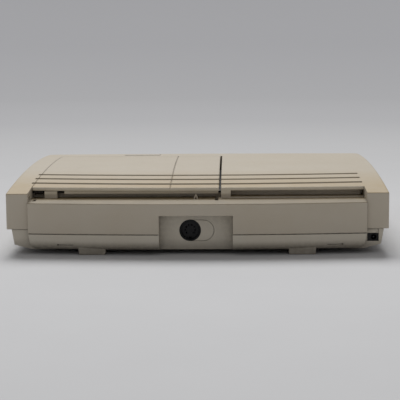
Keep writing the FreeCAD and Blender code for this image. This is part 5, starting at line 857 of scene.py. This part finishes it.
class DiscLid(SubAssembly):
    """Hinged lid with its liner, clamp, latch hook and hinge parts."""

    finishes = {
        Finish.CREAM_LID: "disc_lid",
        Finish.GREY_LINER: "lid_liner clamp_retainer",
        Finish.ACETAL: "disc_clamp",
        Finish.STEEL: "clamp_magnet",
        Finish.BLACK: "lid_latch_hook latch_slider",
        Finish.DARK_STEEL: "lid_hinge_pins",
        Finish.SPRING: "lid_spring",
        Finish.CREAM_BUTTON: "open_button",
    }


@dataclass
class DiscDrive(SubAssembly):
    """Tray, deck, turntable and pickup.

    The hub of the turntable holds three sprung balls, which centre the disc.
    """

    finishes = {
        Finish.GREY_TRAY: "disc_well",
        Finish.ZINC: "deck_chassis spindle_motor sled_motor",
        Finish.RUBBER: "deck_grommets turntable_pad",
        Finish.STEEL: "deck_screws gear_post",
        Finish.BLACK_SATIN: "turntable lens_holder",
        Finish.SHAFT: "sled_rails",
        Finish.BLACK: "pickup_sled lid_switch_body",
        Finish.LENS: "pickup_lens",
        Finish.ACETAL: "sled_rack sled_gear sled_motor_pinion lid_switch_plunger",
    }

    ball_count: int = 3
    ball_turn: float = 0.25
    ball_radius: float = 0.0007
    ball_ring: float = 0.00655
    ball_drop: float = 0.0012
    ball_steps: int = 10
    ball_tip: float = 0.02
    collar_radius: float = 0.0009
    collar_ring: float = 0.0068
    collar_depth: float = 0.0006
    collar_edge: float = 0.00012
    sides: int = 16

    def build(self) -> None:
        """Sets the balls and their collars in the hub."""
        low, high = (Vector(corner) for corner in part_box("turntable"))
        axis = Vector(((low.x + high.x) / 2, (low.y + high.y) / 2, high.z - self.ball_drop))
        steps = [math.pi * count / self.ball_steps for count in range(self.ball_steps + 1)]
        dome = [(-math.cos(step) * self.ball_radius, max(math.sin(step), self.ball_tip) * self.ball_radius)
                for step in steps]
        collar = [(-self.collar_depth, self.collar_radius), (0.0, self.collar_radius),
                  (self.collar_edge, self.collar_radius - self.collar_edge)]
        forming = Forming()
        for index in range(self.ball_count):
            turn = math.tau * (index + self.ball_turn) / self.ball_count
            out = Vector((math.cos(turn), math.sin(turn), 0.0))
            side = Vector((-out.y, out.x, 0.0))
            forming.loft(turned(axis + out * self.ball_ring, out, side, dome, self.sides))
            forming.loft(turned(axis + out * self.collar_ring, out, side, collar, self.sides), kind=1)
        forming.piece("turntable_balls", "turntable_body", Finish.STEEL, Finish.BLACK_SATIN, smooth=True)


class FrontFittings(SubAssembly):
    """Card slot, controller socket, power switch and lamps."""

    finishes = {
        Finish.GREY_SLEEVE: "card_guide",
        Finish.BLACK: "card_connector controller_socket_body power_switch_body",
        Finish.BLACK_SATIN: "controller_socket_insert power_switch_knob",
        Finish.LAMP: "lamp_lenses",
        Finish.BOARD: "lamp_board",
    }


class RearSockets(SubAssembly):
    """Round AV socket and DC inlet."""

    finishes = {
        Finish.SOCKET_BLACK: "av_socket_housing av_socket_insert dc_inlet_body",
        Finish.CONTACT: "av_socket_contacts dc_inlet_pin",
    }


class Room:
    """Tells where small pieces fit on the main board, clear of every other node."""

    board_reach: ClassVar[float] = 0.003

    def __init__(self, nodes: Mapping[str, Piece]) -> None:
        """Reads the surfaces of the board and of everything else."""
        self.board = self.skin(nodes["main_board"])
        self.others = [self.skin(node) for name, node in nodes.items() if name != "main_board"]

    @staticmethod
    def skin(node: Piece) -> BVHTree:
        """Reads one node's surface, at rest and in the row frame."""
        corners = [node.matrix_world @ vertex.co for vertex in node.data.vertices]
        return BVHTree.FromPolygons(corners, [tuple(face.vertices) for face in node.data.polygons])

    def free(self, place: Vector, reach: float) -> bool:
        """Tells whether a place is free, with the board under all of it.

        Args:
            place: The middle of the place.
            reach: How far from it nothing but the board may come.

        Returns:
            Whether it is free.
        """
        if any(tree.find_nearest(place, reach)[0] is not None for tree in self.others):
            return False
        starts = (place + Vector((x * reach, y * reach, 0.0)) for x in (-1, 1) for y in (-1, 1))
        return all(self.board.ray_cast(start, -UP, self.board_reach)[0] is not None for start in starts)


@dataclass
class BoardSet(SubAssembly):
    """Main board and what stands on it, with the legs of its chips and its smallest parts."""

    finishes = {
        Finish.BOARD: "main_board",
        Finish.STEEL: "board_screws",
        Finish.ZINC: "board_shield",
        Finish.CHIP: "board_chips voltage_regulator",
        Finish.SLEEVE_BLUE: "board_capacitors",
        Finish.ALUMINIUM: "heat_sink",
    }

    level_gap: float = 0.00001
    long_chip: float = 1.2
    leg_pitch: float = 0.00127
    leg_width: float = 0.0005
    leg_thick: float = 0.0002
    leg_height: float = 0.0011
    leg_bend: tuple[Span, ...] = ((-0.00005, 1.0), (0.00035, 1.0), (0.0006, 0.82), (0.0009, 0.2))
    leg_foot: Span = (0.00112, 0.0016)
    part_length: float = 0.0032
    part_width: float = 0.0016
    part_height: float = 0.0010
    part_cap: float = 0.0005
    part_inset: float = 0.00006
    body_edge: float = 0.0001
    cap_edge: float = 0.00012
    part_step: float = 0.0068
    part_clear: float = 0.0026
    part_spread: Span = (0.35, 0.65)
    turned_share: float = 0.5
    skipped_share: float = 0.6
    seed: int = 1993

    def chip_feet(self) -> list[Box]:
        """Finds the flat underside of each chip.

        Returns:
            The lowest and highest corner of each underside.
        """
        def bounds(corners: Sequence[Vector]) -> Box:
            """Finds the lowest and highest corner round some corners."""
            return tuple(Vector([pick(parts) for parts in zip(*corners)]) for pick in (min, max))

        mesh = self.nodes["board_chips"].data
        level = min(vertex.co.z for vertex in mesh.vertices)
        feet: list[Box] = []
        for face in mesh.polygons:
            low, high = bounds([mesh.vertices[index].co for index in face.vertices])
            if high.z > level + self.level_gap:
                continue
            apart = []
            for other in feet:
                if all(low[axis] <= other[1][axis] and other[0][axis] <= high[axis] for axis in range(2)):
                    low, high = bounds([low, high, *other])
                else:
                    apart.append(other)
            feet = [*apart, (low, high)]
        return feet

    def add_legs(self, forming: Forming, start: Vector, end: Vector) -> None:
        """Adds a row of bent legs along one side of a chip.

        Args:
            forming: What collects them.
            start: One end of the side, on the board.
            end: The other end. The legs point to the right of the way there.
        """
        along, length = (end - start).normalized(), (end - start).length
        out = Vector((along.y, -along.x, 0.0))
        count = int((length - 2 * self.leg_pitch) / self.leg_pitch) + 1
        first = (length - (count - 1) * self.leg_pitch) / 2
        half = self.leg_thick / 2
        side, lift = along * (self.leg_width / 2), UP * half
        path = [(away, self.leg_height * share) for away, share in self.leg_bend]
        path += [(away, half) for away in self.leg_foot]
        for index in range(count):
            middle = start + along * (first + index * self.leg_pitch)
            spots = [middle + out * away + UP * height for away, height in path]
            forming.loft([[spot - side - lift, spot + side - lift, spot + side + lift, spot - side + lift]
                          for spot in spots])

    def build_legs(self) -> None:
        """Gives every chip its legs: on two sides if it is long, and on four if it is square."""
        forming = Forming()
        for low, high in self.chip_feet():
            wide, deep = high.x - low.x, high.y - low.y
            corners = [Vector((x, y, low.z)) for x, y in (
                (low.x, low.y), (high.x, low.y), (high.x, high.y), (low.x, high.y))]
            for side, start in enumerate(corners):
                own, other = (wide, deep) if side % 2 == 0 else (deep, wide)
                if other <= own * self.long_chip:
                    self.add_legs(forming, start, corners[(side + 1) % 4])
        forming.piece("chip_legs", "console", Finish.TINNED)

    def add_part(self, forming: Forming, place: Vector, turned: bool) -> None:
        """Adds one small part: a ceramic body between two tinned ends.

        Args:
            forming: What collects it.
            place: The middle of its underside.
            turned: Whether it lies along Y and not along X.
        """
        def spot(along: float, across: float, up: float) -> Vector:
            """Finds a spot of the part."""
            return place + Vector((across, along, up) if turned else (along, across, up))

        half, wide, tall, inset = self.part_length / 2, self.part_width / 2, self.part_height, self.part_inset
        forming.block(spot(inset - half, inset - wide, inset),
                      spot(half - inset, wide - inset, tall - inset), self.body_edge)
        for start in (-half, half - self.part_cap):
            forming.block(spot(start, -wide, 0.0), spot(start + self.part_cap, wide, tall),
                          self.cap_edge, kind=1)

    def build_parts(self) -> None:
        """Sets small parts on the free places of the board."""
        low, high = (Vector(corner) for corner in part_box("main_board"))
        room = Room(self.nodes)
        chance = random.Random(self.seed)
        forming = Forming()
        for column in range(int((high.x - low.x) / self.part_step)):
            for row in range(int((high.y - low.y) / self.part_step)):
                x = low.x + (column + chance.uniform(*self.part_spread)) * self.part_step
                y = low.y + (row + chance.uniform(*self.part_spread)) * self.part_step
                turned = chance.random() < self.turned_share
                skipped = chance.random() < self.skipped_share
                place = Vector((x, y, high.z))
                if not skipped and room.free(place + UP * (self.part_height / 2), self.part_clear):
                    self.add_part(forming, place, turned)
        forming.piece("board_small_parts", "console", Finish.CERAMIC, Finish.TINNED)

    def build(self) -> None:
        """Builds the chips' legs and the small parts."""
        self.build_legs()
        self.build_parts()


@dataclass
class Studio:
    """Pale floor that curves up far from the console, one broad soft light, and the camera."""

    floor_rings: Span = (1.2, 0.5)
    floor_radius: float = 2.0
    sweep_radius: float = 3.0
    sweep_turn: float = math.radians(30.0)
    segments: int = 96
    sweep_steps: int = 16
    # Painted pool of light: the paper's tone falls from the console outwards and rises again up the curved
    # wall.
    paper_light_pool: tuple[tuple[float, Colour], ...] = (
        (0.26, (207, 207, 208)), (0.45, (201, 201, 202)), (0.8, (194, 194, 195)),
        (1.3, (181, 181, 183)), (2.1, (174, 174, 176)), (2.9, (181, 181, 184)), (3.3, (190, 190, 193)))
    light_pool_reach: float = 4.0
    speck_colour: Colour = (180, 180, 182)
    camera_place: Triple = (-0.0232, 0.9368, 0.1504)
    camera_yaw: float = math.radians(1.443)
    camera_pitch: float = math.radians(7.673)
    camera_roll: float = math.radians(0.402)
    camera_sees: Span = (0.01, 50.0)
    lens_mm: float = 106.76
    sensor_mm: float = 36.0
    light_height: float = math.radians(54.0)
    light_turn: float = math.radians(172.0)
    light_width: float = math.radians(36.0)
    light_strength: float = 2.4
    light_distance: float = 3.0
    world_colour: tuple[float, float, float, float] = (1.0, 1.0, 1.01, 1.0)
    world_level: float = 0.27
    world_seen: float = 0.38

    def floor_material(self) -> Material:
        """Makes matt paper with a painted pool of light: brightest near the console, darker further out and
        paler again up the curved wall.

        Returns:
            The new material.
        """
        skin = Surface("pale_floor")
        place = skin.millimetres()
        away = skin.remap(skin.vector("LENGTH", place)["Value"], 0.0, self.light_pool_reach * MM_PER_M)
        ramp = skin.add("ValToRGB", {0: away})
        stops = ramp.color_ramp.elements
        stops.remove(stops[-1])
        for index, (metres, colour) in enumerate(self.paper_light_pool):
            stop = stops.new(metres / self.light_pool_reach) if index else stops[0]
            stop.position, stop.color = metres / self.light_pool_reach, linear(colour)
        specks = skin.patches(place, 0.02, (0.3, 0.7), (0.0, 0.05), detail=3.0)
        skin.shade({
            "Base Color": skin.cover(specks, ramp.outputs[0], self.speck_colour), "Roughness": 0.85,
            "Specular IOR Level": 0.1})
        return skin.material

    def build_floor(self) -> None:
        """Turns the floor's profile round the vertical axis, from its rim to its middle."""
        sweep = [self.sweep_turn * step / self.sweep_steps for step in range(self.sweep_steps, -1, -1)]
        profile = [(self.sweep_radius * (1.0 - math.cos(angle)),
                    self.floor_radius + self.sweep_radius * math.sin(angle)) for angle in sweep]
        profile += [(0.0, radius) for radius in self.floor_rings]
        forming = Forming()
        forming.loft(turned(Vector(), UP, Vector((1.0, 0.0, 0.0)), profile, self.segments), closed=False)
        floor = forming.mesh("studio_floor", smooth=True)
        floor.data.materials.append(self.floor_material())

    def build_light(self) -> None:
        """Hangs a distant soft light. Its turn starts at the rear and grows towards the right."""
        lamp = bpy.data.lights.new("front_light", "SUN")
        lamp.energy, lamp.angle = self.light_strength, self.light_width
        flat = math.cos(self.light_height)
        place = Vector((flat * math.sin(self.light_turn), flat * math.cos(self.light_turn),
                        math.sin(self.light_height)))
        holder = put("front_light", lamp)
        holder.location = place * self.light_distance
        holder.rotation_euler = (-place).to_track_quat("-Z", "Y").to_euler()

    def build_world(self) -> None:
        """Sets an even grey world: dim as light, and as pale as the paper where it is seen or mirrored."""
        world = bpy.data.worlds.new("studio_world")
        world.use_nodes = True
        graph = Graph(world.node_tree)
        path = graph.add("LightPath").outputs
        seen = graph.math("MAXIMUM", path["Is Camera Ray"], path["Is Glossy Ray"])
        seen = graph.math("MAXIMUM", seen, path["Is Transmission Ray"])
        strength = graph.remap(seen, 0.0, 1.0, self.world_level, self.world_seen)
        background = graph.add("Background", {"Color": self.world_colour, "Strength": strength})
        graph.add("OutputWorld", {"Surface": background.outputs[0]})
        bpy.context.scene.world = world

    def build_camera(self) -> None:
        """Places the camera behind the console, where the photograph was taken from."""
        data = bpy.data.cameras.new("photo_camera")
        data.lens = self.lens_mm
        data.sensor_width = self.sensor_mm
        data.clip_start, data.clip_end = self.camera_sees
        camera = put("photo_camera", data)
        camera.matrix_world = (Matrix.Translation(self.camera_place)
                               @ Matrix.Rotation(math.pi + self.camera_yaw, 4, "Z")
                               @ Matrix.Rotation(math.pi / 2 - self.camera_pitch, 4, "X")
                               @ Matrix.Rotation(-self.camera_roll, 4, "Z"))
        bpy.context.scene.camera = camera

    def build(self) -> None:
        """Builds floor, light, world and camera."""
        self.build_floor()
        self.build_light()
        self.build_world()
        self.build_camera()
        bpy.context.scene.view_settings.view_transform = "Standard"
        LOG.info("studio is set")


def main() -> None:
    """Loads the frame, dresses it and sets the studio around it."""
    logging.basicConfig(level=logging.INFO, format="%(name)s: %(message)s")
    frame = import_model()
    Studio().build()
    for kind in (CaseShell, DiscLid, DiscDrive, FrontFittings, RearSockets, BoardSet):
        group = kind(frame["nodes"])
        group.dress()
        group.build()
        LOG.info("%s is done", kind.__name__)


if __name__ == "__main__":
    main()
